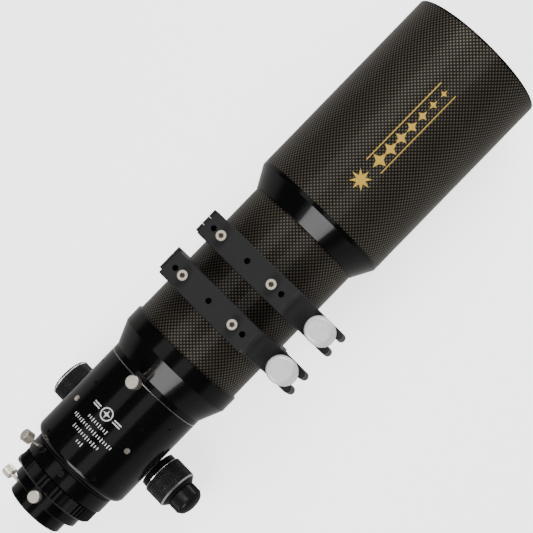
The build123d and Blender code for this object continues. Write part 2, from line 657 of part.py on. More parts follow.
ROLLER_RADIUS = DRAWTUBE_R + RUNNING_FIT + ROLLER_DIAMETER / 2     # roller axle from the optical axis
SET_SCREW_TIP = ROLLER_RADIUS + ROLLER_DIAMETER / 2 + 1.5
CAP_SCREW_ANGLE = 40.5
CAP_SCREW_X = PINION_X + 5.3
GUARD_SCREWS = ((PINION_X - 5.0, 30.0), (FOCUSER_FRONT - FRONT_LIP - 7.0, 60.0),
                (FOCUSER_FRONT - FRONT_LIP - 7.0, -60.0), (FOCUSER_FRONT - FRONT_LIP - 7.0, 180.0))


def make_focuser_body():
    """Billet body: lands for the drawtube, a relieved middle and a lip that turns on the spigot."""
    land = DRAWTUBE_R + MOVING_GAP
    keeper = SPIGOT_R + KEEPER_WALL + MOVING_GAP
    recess_rear = SPIGOT_REAR - 3
    relief = (FOCUSER_REAR + BEARING_LAND, recess_rear - BEARING_LAND)
    body = turned(
        (FOCUSER_REAR, land), (FOCUSER_REAR, FOCUSER_R), (FOCUSER_FRONT - FRONT_CHAMFER, FOCUSER_R),
        (FOCUSER_FRONT, FOCUSER_R - FRONT_CHAMFER), (FOCUSER_FRONT, SPIGOT_R + RUNNING_FIT),
        (LIP_REAR, SPIGOT_R + RUNNING_FIT), (LIP_REAR, keeper), (recess_rear, keeper),
        (recess_rear, land), (relief[1], land), (relief[1], RELIEF_R), (relief[0], RELIEF_R),
        (relief[0], land))
    corner = body.edges().filter_by(GeomType.CIRCLE).group_by(Axis.X)[0].sort_by(SortBy.RADIUS)[-1]
    body = fillet(corner, FOCUSER_FILLET)
    half_rack = RACK_WIDTH / 2 + MOVING_GAP + 0.2
    slot_top = AXIS_HEIGHT - RACK_TIP - MOVING_GAP
    body -= block((FOCUSER_REAR - 1, -half_rack, slot_top),
                  (recess_rear + 1, half_rack, AXIS_HEIGHT - land + 3))
    for place in roller_places().values():
        pocket = Pos(0, 0, ROLLER_RADIUS) * Box(ROLLER_DIAMETER + 1, ROLLER_WIDTH + 1.2, ROLLER_DIAMETER + 3)
        body -= [place * pocket, place * cross_rod(AXLE_DIAMETER / 2, -AXLE_LENGTH / 2, AXLE_LENGTH / 2,
                                                   z=ROLLER_RADIUS),
                 place * rod(2.0, SET_SCREW_TIP, FOCUSER_R + 1)]
    for place in cap_screw_seats():
        body -= place * rod(BODY_SCREW / 2, RELIEF_R - 1, FOCUSER_R + 1)
        body -= place * rod(BODY_SCREW_HEAD / 2, FOCUSER_R - BODY_SCREW_SINK, FOCUSER_R + 1)
    for x, angle in GUARD_SCREWS:
        body -= around(x, angle) * rod(BODY_SCREW / 2, RELIEF_R - 8, FOCUSER_R + 1)
    body -= around(LOCK_X, 0) * rod(THUMB_STEM / 2 + RUNNING_FIT, SPIGOT_R - 1, FOCUSER_R + 1)
    for sleeve_y in (-1, 1):
        body -= shaft_sleeve(sleeve_y)
    body -= housing_block()
    for place in saddle_screw_places():
        body -= place * rod(BODY_SCREW / 2, RELIEF_R - 1, FOCUSER_R + 1)
    return body


def cap_screw_seats():
    return [around(CAP_SCREW_X, side * CAP_SCREW_ANGLE) for side in (-1, 1)]


def make_body_set_screws():
    """Roller adjusting screws and the guard screws of the body."""
    screws = [place * set_screw(4, SET_SCREW_TIP, FOCUSER_R - 0.4) for place in roller_places().values()]
    screws += [around(x, angle) * set_screw(BODY_SCREW, RELIEF_R + 0.5, FOCUSER_R - 0.3)
               for x, angle in GUARD_SCREWS]
    return group(screws)


def make_body_cap_screws():
    seat = Pos(0, 0, FOCUSER_R - BODY_SCREW_SINK)
    return group([place * seat * body_screw(BODY_SCREW_HEAD, 1.8, 2.0) for place in cap_screw_seats()])


def body_screw(head, head_height, length):
    """Small cap screw whose head sits on its own Z = 0."""
    screw = rod(head / 2, 0, head_height) + rod(BODY_SCREW / 2, -length, 0)
    return screw - hex_socket(2.5, 0.6 * head_height, head_height)


def make_axles():
    rods = [place * cross_rod(AXLE_DIAMETER / 2, -AXLE_LENGTH / 2, AXLE_LENGTH / 2, z=ROLLER_RADIUS)
            for place in roller_places().values()]
    return group(rods)


def make_roller(place):
    half = ROLLER_WIDTH / 2
    wheel = cross_rod(ROLLER_DIAMETER / 2, -half, half, z=ROLLER_RADIUS)
    return place * (wheel - cross_rod(AXLE_DIAMETER / 2 + RUNNING_FIT, -half, half, z=ROLLER_RADIUS))


def pinion_place():
    """Frame of the pinion's shaft, its Y along the shaft."""
    return Pos(PINION_X, 0, AXIS_HEIGHT - PINION_DROP)


def housing_block():
    """Plain block of the pinion housing, before it is bored."""
    half_x, half_y = HOUSING_LENGTH / 2, HOUSING_WIDTH / 2
    low = (PINION_X - half_x, -half_y, AXIS_HEIGHT - PINION_DROP - HOUSING_DEPTH)
    high = (PINION_X + half_x, half_y, AXIS_HEIGHT - DRAWTUBE_R + 3)
    return block(low, high) - Pos(0, 0, AXIS_HEIGHT) * long_rod(DRAWTUBE_R + 1, FOCUSER_REAR, FOCUSER_FRONT)


def shaft_sleeve(side):
    """Tube that carries one end of the shaft out from the block."""
    start, end = HOUSING_WIDTH / 2 - 1, SLEEVE_REACH
    low, high = sorted((side * start, side * end))
    return pinion_place() * cross_rod(SLEEVE_DIAMETER / 2, low, high)


def saddle_screw_places():
    reach = SADDLE_LENGTH / 2 - 2.6
    return [around(PINION_X + way * reach, 180 + side * (SADDLE_HALF_ANGLE - 7))
            for way in (-1, 1) for side in (-1, 1)]


def make_pinion_housing():
    """Block under the body that holds the pinion, with a saddle screwed to the body."""
    half = SADDLE_LENGTH / 2
    band = sleeve(PINION_X - half, PINION_X + half, FOCUSER_R + SADDLE_THICKNESS, FOCUSER_R, 0.6)
    reach = FOCUSER_R + SADDLE_THICKNESS
    wide = reach * sin(radians(SADDLE_HALF_ANGLE))
    low = AXIS_HEIGHT - reach
    band = band & block((PINION_X - half, -wide, low), (PINION_X + half, wide, AXIS_HEIGHT - FOCUSER_R / 2))
    body = band + housing_block() + shaft_sleeve(-1) + shaft_sleeve(1)
    at = pinion_place()
    tip = PITCH_R + GEAR_MODULE
    body -= at * cross_rod(SHAFT_DIAMETER / 2 + MOVING_GAP, -SLEEVE_REACH - 1, SLEEVE_REACH + 1)
    for side in (-1, 1):
        low_y, high_y = sorted((side * (SLEEVE_REACH - BUSH_LENGTH), side * (SLEEVE_REACH + 1)))
        body -= at * cross_rod(BUSH_DIAMETER / 2, low_y, high_y)
    width = PINION_WIDTH / 2 + 0.8
    body -= at * cross_rod(tip + MOVING_GAP, -width, width)
    body -= at * block((-tip - MOVING_GAP, -width, 0), (tip + MOVING_GAP, width, PINION_DROP))
    rack_room = RACK_WIDTH / 2 + 0.5
    body -= at * block((-HOUSING_LENGTH, -rack_room, PINION_DROP - RACK_TIP - MOVING_GAP),
                       (HOUSING_LENGTH, rack_room, PINION_DROP))
    for place in saddle_screw_places():
        body -= place * rod(BODY_SCREW / 2, FOCUSER_R - 1, FOCUSER_R + SADDLE_THICKNESS + 1)
        body -= place * rod(SADDLE_SCREW_HEAD / 2, FOCUSER_R + SADDLE_SCREW_SINK,
                            FOCUSER_R + SADDLE_THICKNESS + 6)
    return body


def make_housing_screws():
    seat = Pos(0, 0, FOCUSER_R + SADDLE_SCREW_SINK)
    return group([place * seat * body_screw(SADDLE_SCREW_HEAD, 2.4, 4.5) for place in saddle_screw_places()])


def make_shaft_bushes():
    inner, outer = SLEEVE_REACH - BUSH_LENGTH, SLEEVE_REACH
    bore = cross_rod(SHAFT_DIAMETER / 2 + RUNNING_FIT, inner, outer)
    bush = cross_rod(BUSH_DIAMETER / 2, inner, outer) - bore
    return group([pinion_place() * Rot(0, 0, turn) * bush for turn in (0, 180)])


# ---------------------------------------------------------------- drawtube
def make_drawtube():
    """Sliding tube with its flange, the spigot for the camera rotator and the seat for the rack."""
    spigot = ROTATOR_SPIGOT / 2
    body = turned(
        (ROTATOR_SPIGOT_REAR, DRAWTUBE_INNER), (ROTATOR_SPIGOT_REAR, spigot),
        (FLANGE_REAR, spigot), (FLANGE_REAR, FLANGE_R - SEAT_EDGE),
        (FLANGE_REAR + SEAT_EDGE, FLANGE_R), (FLANGE_FRONT - SEAT_EDGE, FLANGE_R),
        (FLANGE_FRONT, FLANGE_R - SEAT_EDGE), (FLANGE_FRONT, DRAWTUBE_R),
        (DRAWTUBE_FRONT, DRAWTUBE_R), (DRAWTUBE_FRONT, DRAWTUBE_INNER))
    rear, front = rack_ends()
    seat = block((rear, -RACK_WIDTH / 2, AXIS_HEIGHT - DRAWTUBE_R - 1),
                 (DRAWTUBE_FRONT + 1, RACK_WIDTH / 2, AXIS_HEIGHT - RACK_SEAT))
    body = body - seat - lock_groove(rotator_lock_x(), spigot)
    return body - [place * rod(1.0, -3, 3) for place in rack_screw_places()]


def rack_ends():
    """Rear and front ends of the rack, long enough to stay in mesh over the whole travel."""
    return PINION_X - 10.0, DRAWTUBE_FRONT - RACK_FRONT_MARGIN


def rack_screw_places():
    rear, front = rack_ends()
    count = 3
    return [Pos(rear + (front - rear) * (0.5 + number) / count, 0, AXIS_HEIGHT - RACK_SEAT)
            * Rot(180, 0, 0) for number in range(count)]


def tooth(half_pitch_width, outward, inward):
    """Half widths of a tooth at its tip and its root."""
    slope = tan(radians(PRESSURE_ANGLE))
    return half_pitch_width - outward * slope, half_pitch_width + inward * slope


def make_rack():
    """Straight rack let into the bottom of the drawtube, with a tooth centred over the pinion."""
    pitch = pi * GEAR_MODULE
    rear, front = rack_ends()
    root = AXIS_HEIGHT - RACK_ROOT
    tip_z = AXIS_HEIGHT - RACK_TIP
    tip_half, root_half = tooth(pitch / 4 - TOOTH_BACKLASH / 2, GEAR_MODULE, 1.25 * GEAR_MODULE)
    first = -int((PINION_X - rear - pitch / 2) / pitch)
    last = int((front - PINION_X - pitch / 2) / pitch)
    outline = [(rear, AXIS_HEIGHT - RACK_SEAT), (rear, root)]
    for number in range(first, last + 1):
        x = PINION_X + number * pitch
        outline += [(x - root_half, root), (x - tip_half, tip_z), (x + tip_half, tip_z),
                    (x + root_half, root)]
    outline += [(front, root), (front, AXIS_HEIGHT - RACK_SEAT)]
    face = make_face(Polyline(*[(x, -RACK_WIDTH / 2, z) for x, z in outline], close=True))
    rack = extrude(face, RACK_WIDTH, dir=(0, 1, 0))
    return rack - [place * rod(1.0, -1, 5) for place in rack_screw_places()]


def make_rack_screws():
    depth = RACK_ROOT - RACK_SEAT
    return group([place * rod(1.0, -1.5, depth) for place in rack_screw_places()])


# ---------------------------------------------------------------- focus drive
def make_pinion_shaft():
    """Shaft with its pinion; a gap between two teeth faces the rack."""
    tip_r, root_r = PITCH_R + GEAR_MODULE, PITCH_R - 1.25 * GEAR_MODULE
    pitch = pi * GEAR_MODULE
    tip_half, root_half = tooth(pitch / 4 - TOOTH_BACKLASH / 2, 0.8 * GEAR_MODULE, GEAR_MODULE)
    outline = []
    for number in range(PINION_TEETH):
        middle = 2 * pi * (number + 0.5) / PINION_TEETH
        for radius, offset in ((root_r, -root_half), (tip_r, -tip_half * 0.7), (tip_r, tip_half * 0.7),
                               (root_r, root_half)):
            angle = middle + offset / (radius if radius == root_r else tip_r)
            outline.append((radius * sin(angle), radius * cos(angle)))
    face = make_face(Polyline(*[(x, -PINION_WIDTH / 2, z) for x, z in outline], close=True))
    gear = extrude(face, PINION_WIDTH, dir=(0, 1, 0))
    shaft = cross_rod(SHAFT_DIAMETER / 2, -RIGHT_GRIP_START - 2, LEFT_GRIP_START + LEFT_GRIP_LENGTH - 3)
    return pinion_place() * (gear + shaft)


def knob_profile(side, *outline):
    """Knob turned about the shaft from (distance from the middle plane, radius) corners."""
    return pinion_place() * Rot(-90 * side, 0, 0) * spun(*[(radius, y) for y, radius in outline])


def make_coarse_knob_left():
    grip_end = LEFT_GRIP_START + LEFT_GRIP_LENGTH
    radius, hub = COARSE_DIAMETER / 2, HUB_R
    hub_start = SLEEVE_REACH + MOVING_GAP
    knob = pinion_place() * Rot(-90, 0, 0) * (
        rod(hub, hub_start, LEFT_GRIP_START) + ridged(radius, 0.35, 60, LEFT_GRIP_START, grip_end, 0.4)
        + spun((0, grip_end), (radius, grip_end), (radius - LEFT_CHAMFER, grip_end + LEFT_CHAMFER),
               (radius - 5, grip_end + LEFT_CHAMFER), (radius - 6, grip_end + 0.4), (0, grip_end + 0.4)))
    return knob - pinion_place() * cross_rod(SHAFT_DIAMETER / 2, 0, grip_end - 3)


def make_coarse_knob_right():
    """Coarse knob that houses the ten to one ball reducer."""
    grip_end = RIGHT_GRIP_START + RIGHT_GRIP_LENGTH
    radius, hub = COARSE_DIAMETER / 2, HUB_R
    hub_start, face = SLEEVE_REACH + MOVING_GAP, grip_end + RIGHT_TAPER
    turned_side = Rot(90, 0, 0)
    knob = turned_side * (
        rod(hub, hub_start, RIGHT_GRIP_START) + ridged(radius, 0.35, 60, RIGHT_GRIP_START, grip_end, 0.4)
        + spun((0, grip_end), (radius, grip_end), (radius - 1.5, grip_end + 1.5), (FINE_DIAMETER / 2, face),
               (0, face)))
    cavity_radius = FINE_SHAFT / 2 + RUNNING_FIT + BALL_DIAMETER
    bores = turned_side * (rod(SHAFT_DIAMETER / 2, 0, RIGHT_GRIP_START + 2)
                           + rod(cavity_radius, RIGHT_GRIP_START + 4, RIGHT_GRIP_START + 14)
                           + rod(FINE_SHAFT / 2 + RUNNING_FIT, RIGHT_GRIP_START + 14, face + 1))
    return pinion_place() * (knob - bores)


def make_reducer_balls():
    reach = FINE_SHAFT / 2 + RUNNING_FIT + BALL_DIAMETER / 2
    y = -(RIGHT_GRIP_START + 9)
    turns = [2 * pi * number / BALL_COUNT for number in range(BALL_COUNT)]
    return group([pinion_place() * Pos(reach * sin(turn), y, reach * cos(turn)) * Sphere(BALL_DIAMETER / 2)
                  for turn in turns])


def make_fine_shaft():
    start = RIGHT_GRIP_START + 5
    end = RIGHT_GRIP_START + RIGHT_GRIP_LENGTH + RIGHT_TAPER + FINE_LENGTH - 2
    return pinion_place() * cross_rod(FINE_SHAFT / 2, -end, -start)


def make_fine_knob():
    """Fluted fine knob with a domed end."""
    base = RIGHT_GRIP_START + RIGHT_GRIP_LENGTH + RIGHT_TAPER + MOVING_GAP
    top = base + FINE_LENGTH
    radius = FINE_DIAMETER / 2
    steps = 6
    dome = [(radius * 0.92 * cos(pi / 2 * step / steps), top + FINE_DOME * sin(pi / 2 * step / steps))
            for step in range(steps + 1)]
    dome[-1] = (0, top + FINE_DOME)
    knob = ridged(radius, 0.7, 30, base, top, 0.8) + spun((0, top - 1), (radius * 0.92, top - 1), *dome)
    knob -= rod(FINE_SHAFT / 2, base - 1, base + FINE_LENGTH - 2 - MOVING_GAP)
    return pinion_place() * Rot(90, 0, 0) * knob


# ---------------------------------------------------------------- eyepiece end
def rotator_lock_x():
    return COLLAR_FRONT - ROTATOR_LOCK_INSET


ROTATOR_ANGLE = 45.5
SLOTTED_ANGLE = -8.0
HOLDER_ANGLES = {"a": -5.5, "b": 114.5}
ADAPTER_ANGLE = 90.0
HOLDER_LOCK_X = KNURLED_REAR - HOLDER_LENGTH / 2
EYEPIECE_LOCK_X = EYEPIECE_FRONT - 7.5


def stem_hole(x, angle):
    """Hole that a thumb screw turns in, from a collar's bore outward."""
    return around(x, angle) * rod(THUMB_STEM / 2 + RUNNING_FIT, EYEPIECE_BARREL / 2 + 1, COLLAR_DIAMETER)


def make_rotator_collar():
    spigot = ROTATOR_SPIGOT / 2 + RUNNING_FIT
    outer, inner = COLLAR_DIAMETER / 2, HOLDER_THREAD / 2
    lip_front = ROTATOR_SPIGOT_REAR - MOVING_GAP
    collar = turned(
        (COLLAR_REAR, inner), (COLLAR_REAR, outer - SEAT_EDGE), (COLLAR_REAR + SEAT_EDGE, outer),
        (COLLAR_FRONT - SEAT_EDGE, outer), (COLLAR_FRONT, outer - SEAT_EDGE), (COLLAR_FRONT, spigot),
        (lip_front, spigot), (lip_front, inner))
    slotted = around(rotator_lock_x(), SLOTTED_ANGLE) * rod(3.0, spigot + 1.5, COLLAR_DIAMETER)
    return collar - stem_hole(rotator_lock_x(), ROTATOR_ANGLE) - slotted


def make_slotted_screw():
    top = COLLAR_DIAMETER / 2 + 0.2
    tip = ROTATOR_SPIGOT / 2 + RUNNING_FIT + 1.5
    screw = rod(3.0, tip, top) - Pos(0, 0, top) * Box(0.9, 7, 2)
    return around(rotator_lock_x(), SLOTTED_ANGLE) * screw


def make_knurled_ring():
    """Coarse-ridged lock ring on the holder's thread."""
    ring = ridged(KNURLED_DIAMETER / 2, 0.9, 60, 0, KNURLED_LENGTH, 2.0)
    bore = rod(HOLDER_THREAD / 2, -1, KNURLED_LENGTH + 1)
    return Pos(KNURLED_REAR, 0, AXIS_HEIGHT) * Rot(0, 90, 0) * (ring - bore)


def brass_seat(x, bore, length=BRASS_WIDTH):
    """Groove behind a compression ring."""
    return sleeve(x - length / 2, x + length / 2, bore + BRASS_THICKNESS + 0.3, bore - 1)


def brass_ring(x, bore):
    """Split brass compression ring resting in its groove."""
    half = BRASS_WIDTH / 2
    ring = sleeve(x - half, x + half, bore + BRASS_THICKNESS + 0.3, bore + 0.3)
    return ring - block((x - half - 1, -1, AXIS_HEIGHT - bore - 5), (x + half + 1, 1, AXIS_HEIGHT))


def make_holder():
    bore = BARREL_TWO_INCH / 2 + BARREL_CLEARANCE
    neck = HOLDER_THREAD / 2
    front = ROTATOR_SPIGOT_REAR + 2
    body = turned(
        (HOLDER_REAR, bore), (HOLDER_REAR, HOLDER_DIAMETER / 2 - SEAT_EDGE),
        (HOLDER_REAR + SEAT_EDGE, HOLDER_DIAMETER / 2), (KNURLED_REAR, HOLDER_DIAMETER / 2),
        (KNURLED_REAR, neck), (front, neck), (front, bore))
    body -= brass_seat(HOLDER_LOCK_X, bore)
    return body - [stem_hole(HOLDER_LOCK_X, angle) for angle in HOLDER_ANGLES.values()]


def make_holder_brass():
    return brass_ring(HOLDER_LOCK_X, BARREL_TWO_INCH / 2 + BARREL_CLEARANCE)


def eyepiece_bore():
    return EYEPIECE_BARREL / 2 + BARREL_CLEARANCE


def make_eyepiece_adapter():
    bore = eyepiece_bore()
    barrel = BARREL_TWO_INCH / 2
    outer = EYEPIECE_COLLAR / 2
    body = turned(
        (EYEPIECE_REAR, bore), (EYEPIECE_REAR, outer - SEAT_EDGE), (EYEPIECE_REAR + SEAT_EDGE, outer),
        (EYEPIECE_FRONT - SEAT_EDGE, outer), (EYEPIECE_FRONT, outer - SEAT_EDGE), (EYEPIECE_FRONT, barrel),
        (EYEPIECE_FRONT + BARREL_LENGTH, barrel), (EYEPIECE_FRONT + BARREL_LENGTH, bore))
    return body - brass_seat(EYEPIECE_LOCK_X, bore) - stem_hole(EYEPIECE_LOCK_X, ADAPTER_ANGLE)


def make_eyepiece_brass():
    return brass_ring(EYEPIECE_LOCK_X, eyepiece_bore())


def make_collar_screw(x, angle, collar_diameter, tip):
    """Thumb screw standing out of a collar."""
    base = collar_diameter / 2 + THUMB_STAND
    return around(x, angle) * thumb_screw(THUMB_HEAD, THUMB_HEAD_HEIGHT, tip, base)


# ---------------------------------------------------------------- all nodes
def build_nodes():
    """Every piece of the telescope under its node name."""
    holder_tip = BARREL_TWO_INCH / 2 + BARREL_CLEARANCE + BRASS_THICKNESS + 0.6
    adapter_tip = eyepiece_bore() + BRASS_THICKNESS + 0.6
    nodes = {
        "main_tube": make_main_tube(), "tube_baffles": make_baffles(), "rear_adapter": make_rear_adapter(),
        "rotation_keeper_ring": make_rotation_keeper(), "cell_mount": make_cell_mount(),
        "cell_guide_felt": make_cell_felt(), "lens_cell": make_lens_cell(),
        "collimation_screws": group(cell_screws()), "flint_lens": make_flint_lens(),
        "lens_spacer": make_lens_spacer(), "crown_lens": make_crown_lens(),
        "lens_retaining_ring": make_lens_keeper(), "ring_liners": make_ring_liners(),
        "ring_hinge_pins": make_hinge_pins(), "ring_cap_screws": make_cap_screws(),
        "clamp_pivot_pins": make_pivot_pins(), "dew_shield_rear_ring": make_shield_rear_ring(),
        "dew_shield_felt": make_shield_felt(), "dew_shield_tube": make_shield_tube(),
        "dew_shield_rim": make_shield_rim(), "focuser_body": make_focuser_body(),
        "body_set_screws": make_body_set_screws(), "body_cap_screws": make_body_cap_screws(),
        "roller_axles": make_axles(), "pinion_housing": make_pinion_housing(),
        "housing_screws": make_housing_screws(), "shaft_bushes": make_shaft_bushes(),
        "drawtube": make_drawtube(), "drawtube_rack": make_rack(), "rack_screws": make_rack_screws(),
        "pinion_shaft": make_pinion_shaft(), "coarse_knob_left": make_coarse_knob_left(),
        "coarse_knob_right": make_coarse_knob_right(), "reducer_balls": make_reducer_balls(),
        "fine_shaft": make_fine_shaft(), "fine_knob": make_fine_knob(),
        "rotator_collar": make_rotator_collar(), "rotator_slotted_screw": make_slotted_screw(),
        "knurled_lock_ring": make_knurled_ring(), "holder_two_inch": make_holder(),
        "holder_brass_ring": make_holder_brass(), "eyepiece_adapter": make_eyepiece_adapter(),
        "eyepiece_brass_ring": make_eyepiece_brass()}
    for name, place in roller_places().items():
        nodes[f"roller_{name}"] = make_roller(place)
    upper, lower = make_ring_half(True), make_ring_half(False)
    for name, x in RING_STATIONS.items():
        nodes[f"ring_upper_{name}"] = at_ring(x) * upper
        nodes[f"ring_lower_{name}"] = at_ring(x) * lower
        nodes[f"clamp_bolt_{name}"] = make_clamp_bolt(x)
        nodes[f"clamp_knob_{name}"] = make_clamp_knob(x)
    for name, angle in HOLDER_ANGLES.items():
        nodes[f"holder_screw_{name}"] = make_collar_screw(HOLDER_LOCK_X, angle, HOLDER_DIAMETER, holder_tip)
    nodes["adapter_screw"] = make_collar_screw(EYEPIECE_LOCK_X, ADAPTER_ANGLE, EYEPIECE_COLLAR, adapter_tip)
    nodes["rotator_lock_screw"] = make_collar_screw(rotator_lock_x(), ROTATOR_ANGLE, COLLAR_DIAMETER,
                                                    ROTATOR_SPIGOT / 2 - LOCK_GROOVE + MOVING_GAP)
    nodes["rotation_lock_screw"] = around(LOCK_X, 0) * thumb_screw(
        LOCK_HEAD, LOCK_HEAD_HEIGHT, SPIGOT_R - LOCK_GROOVE + MOVING_GAP, FOCUSER_R + LOCK_STAND)
    return nodes


os.makedirs("parts", exist_ok=True)
for node_name, shape in build_nodes().items():
    export_step(shape, f"parts/{node_name}.step")
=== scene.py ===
import json
import logging
import math
from dataclasses import dataclass, field
from enum import Enum
from typing import Callable, Iterable, Optional, Sequence, Union

import bmesh
import bpy
from mathutils import Matrix, Vector


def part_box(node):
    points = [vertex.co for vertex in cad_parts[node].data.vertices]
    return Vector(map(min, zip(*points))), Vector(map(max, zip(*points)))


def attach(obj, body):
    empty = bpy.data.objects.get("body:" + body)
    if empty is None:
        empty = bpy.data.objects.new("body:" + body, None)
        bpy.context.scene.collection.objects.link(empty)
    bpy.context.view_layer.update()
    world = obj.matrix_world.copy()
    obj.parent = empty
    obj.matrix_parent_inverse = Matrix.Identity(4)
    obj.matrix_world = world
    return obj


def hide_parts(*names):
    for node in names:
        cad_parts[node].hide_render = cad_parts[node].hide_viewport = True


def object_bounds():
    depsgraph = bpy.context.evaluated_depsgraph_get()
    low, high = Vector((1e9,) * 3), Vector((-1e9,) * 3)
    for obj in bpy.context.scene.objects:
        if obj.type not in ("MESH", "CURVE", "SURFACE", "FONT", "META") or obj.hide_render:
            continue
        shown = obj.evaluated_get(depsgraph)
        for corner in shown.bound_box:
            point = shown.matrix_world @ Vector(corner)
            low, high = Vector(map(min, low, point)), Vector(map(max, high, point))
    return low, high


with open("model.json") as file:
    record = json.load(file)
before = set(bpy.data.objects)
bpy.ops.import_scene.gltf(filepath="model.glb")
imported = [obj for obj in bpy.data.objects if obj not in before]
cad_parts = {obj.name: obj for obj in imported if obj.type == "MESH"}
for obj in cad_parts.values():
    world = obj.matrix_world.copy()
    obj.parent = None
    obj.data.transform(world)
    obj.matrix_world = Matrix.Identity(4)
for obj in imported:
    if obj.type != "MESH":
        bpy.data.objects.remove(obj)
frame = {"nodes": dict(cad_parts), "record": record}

MM = 0.001
LOG = logging.getLogger("refractor")
CAD_BOX = [list(corner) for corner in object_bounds()]
AXIS_HEIGHT = (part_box("main_tube")[0].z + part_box("main_tube")[1].z) / 2
Colour = tuple[float, float, float]
Corner = tuple[float, float, float]
Number = Union[int, float]


class Slot(Enum):
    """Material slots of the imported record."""

    CARBON = "carbon_weave"
    GLOSS_BLACK = "gloss_black"
    BLACK_ANODISED = "black_anodised"


class Side(Enum):
    """Side of the tube, as the sign of Y."""

    CLAMP = -1
    HINGE = 1


# ---------------------------------------------------------------- shader expressions
class Signal:
    """A shader socket that joins Python expressions and adds the nodes they need."""

    def __init__(self, tree: "ShaderTree", socket: bpy.types.NodeSocket) -> None:
        """Keep the socket and the tree that new nodes go into."""
        self.tree = tree
        self.socket = socket

    @property
    def is_vector(self) -> bool:
        """Whether the socket carries a vector or a colour."""
        return self.socket.type in ("VECTOR", "RGBA")

    def _join(self, operation: str, left: "Value", right: "Value") -> "Signal":
        """Add one Math or Vector Math node.

        Args:
            operation: The node's operation.
            left: First operand.
            right: Second operand.

        Returns:
            The node's result.
        """
        vector = any(isinstance(side, Signal) and side.is_vector for side in (left, right))
        kind = "ShaderNodeVectorMath" if vector else "ShaderNodeMath"
        if vector:
            left, right = (side if isinstance(side, (Signal, tuple)) else (side,) * 3
                           for side in (left, right))
        return self.tree.node(kind, {"operation": operation}, {0: left, 1: right})

    def __add__(self, other: "Value") -> "Signal":
        """Sum of the two sides."""
        return self._join("ADD", self, other)

    def __radd__(self, other: "Value") -> "Signal":
        """Sum with a number on the left."""
        return self._join("ADD", other, self)

    def __sub__(self, other: "Value") -> "Signal":
        """Difference of the two sides."""
        return self._join("SUBTRACT", self, other)

    def __rsub__(self, other: "Value") -> "Signal":
        """Difference with a number on the left."""
        return self._join("SUBTRACT", other, self)

    def __mul__(self, other: "Value") -> "Signal":
        """Product of the two sides."""
        return self._join("MULTIPLY", self, other)

    def __rmul__(self, other: "Value") -> "Signal":
        """Product with a number on the left."""
        return self._join("MULTIPLY", other, self)

    def __truediv__(self, other: "Value") -> "Signal":
        """Quotient of the two sides."""
        return self._join("DIVIDE", self, other)

    def __pow__(self, power: Number) -> "Signal":
        """Value raised to a fixed power."""
        return self._join("POWER", self, power)

    def __gt__(self, other: "Value") -> "Signal":
        """One where this side is greater, and zero elsewhere."""
        return self._join("GREATER_THAN", self, other)

    def __lt__(self, other: "Value") -> "Signal":
        """One where this side is less, and zero elsewhere."""
        return self._join("LESS_THAN", self, other)

    def __mod__(self, other: "Value") -> "Signal":
        """Remainder that stays positive."""
        return self._join("FLOORED_MODULO", self, other)

    def __abs__(self) -> "Signal":
        """Size without its sign."""
        return self.tree.node("ShaderNodeMath", {"operation": "ABSOLUTE"}, {0: self})

    def wave(self) -> "Signal":
        """Cosine of the value."""
        return self.tree.node("ShaderNodeMath", {"operation": "COSINE"}, {0: self})

    def floor(self) -> "Signal":
        """Whole number at or below the value."""
        return self.tree.node("ShaderNodeMath", {"operation": "FLOOR"}, {0: self})

    def clamp(self) -> "Signal":
        """Value held between zero and one."""
        return self.tree.node("ShaderNodeClamp", {}, {"Value": self})

    def step(self, low: float, high: float) -> "Signal":
        """Smooth rise from zero to one between two values."""
        return self.tree.node("ShaderNodeMapRange", {"interpolation_type": "SMOOTHSTEP"},
                              {"Value": self, "From Min": low, "From Max": high})

    def parts(self) -> tuple["Signal", "Signal", "Signal"]:
        """The three components of a vector."""
        made = self.tree.raw("ShaderNodeSeparateXYZ", {}, {0: self})
        return tuple(Signal(self.tree, made.outputs[axis]) for axis in "XYZ")


Value = Union[Signal, Number, tuple]


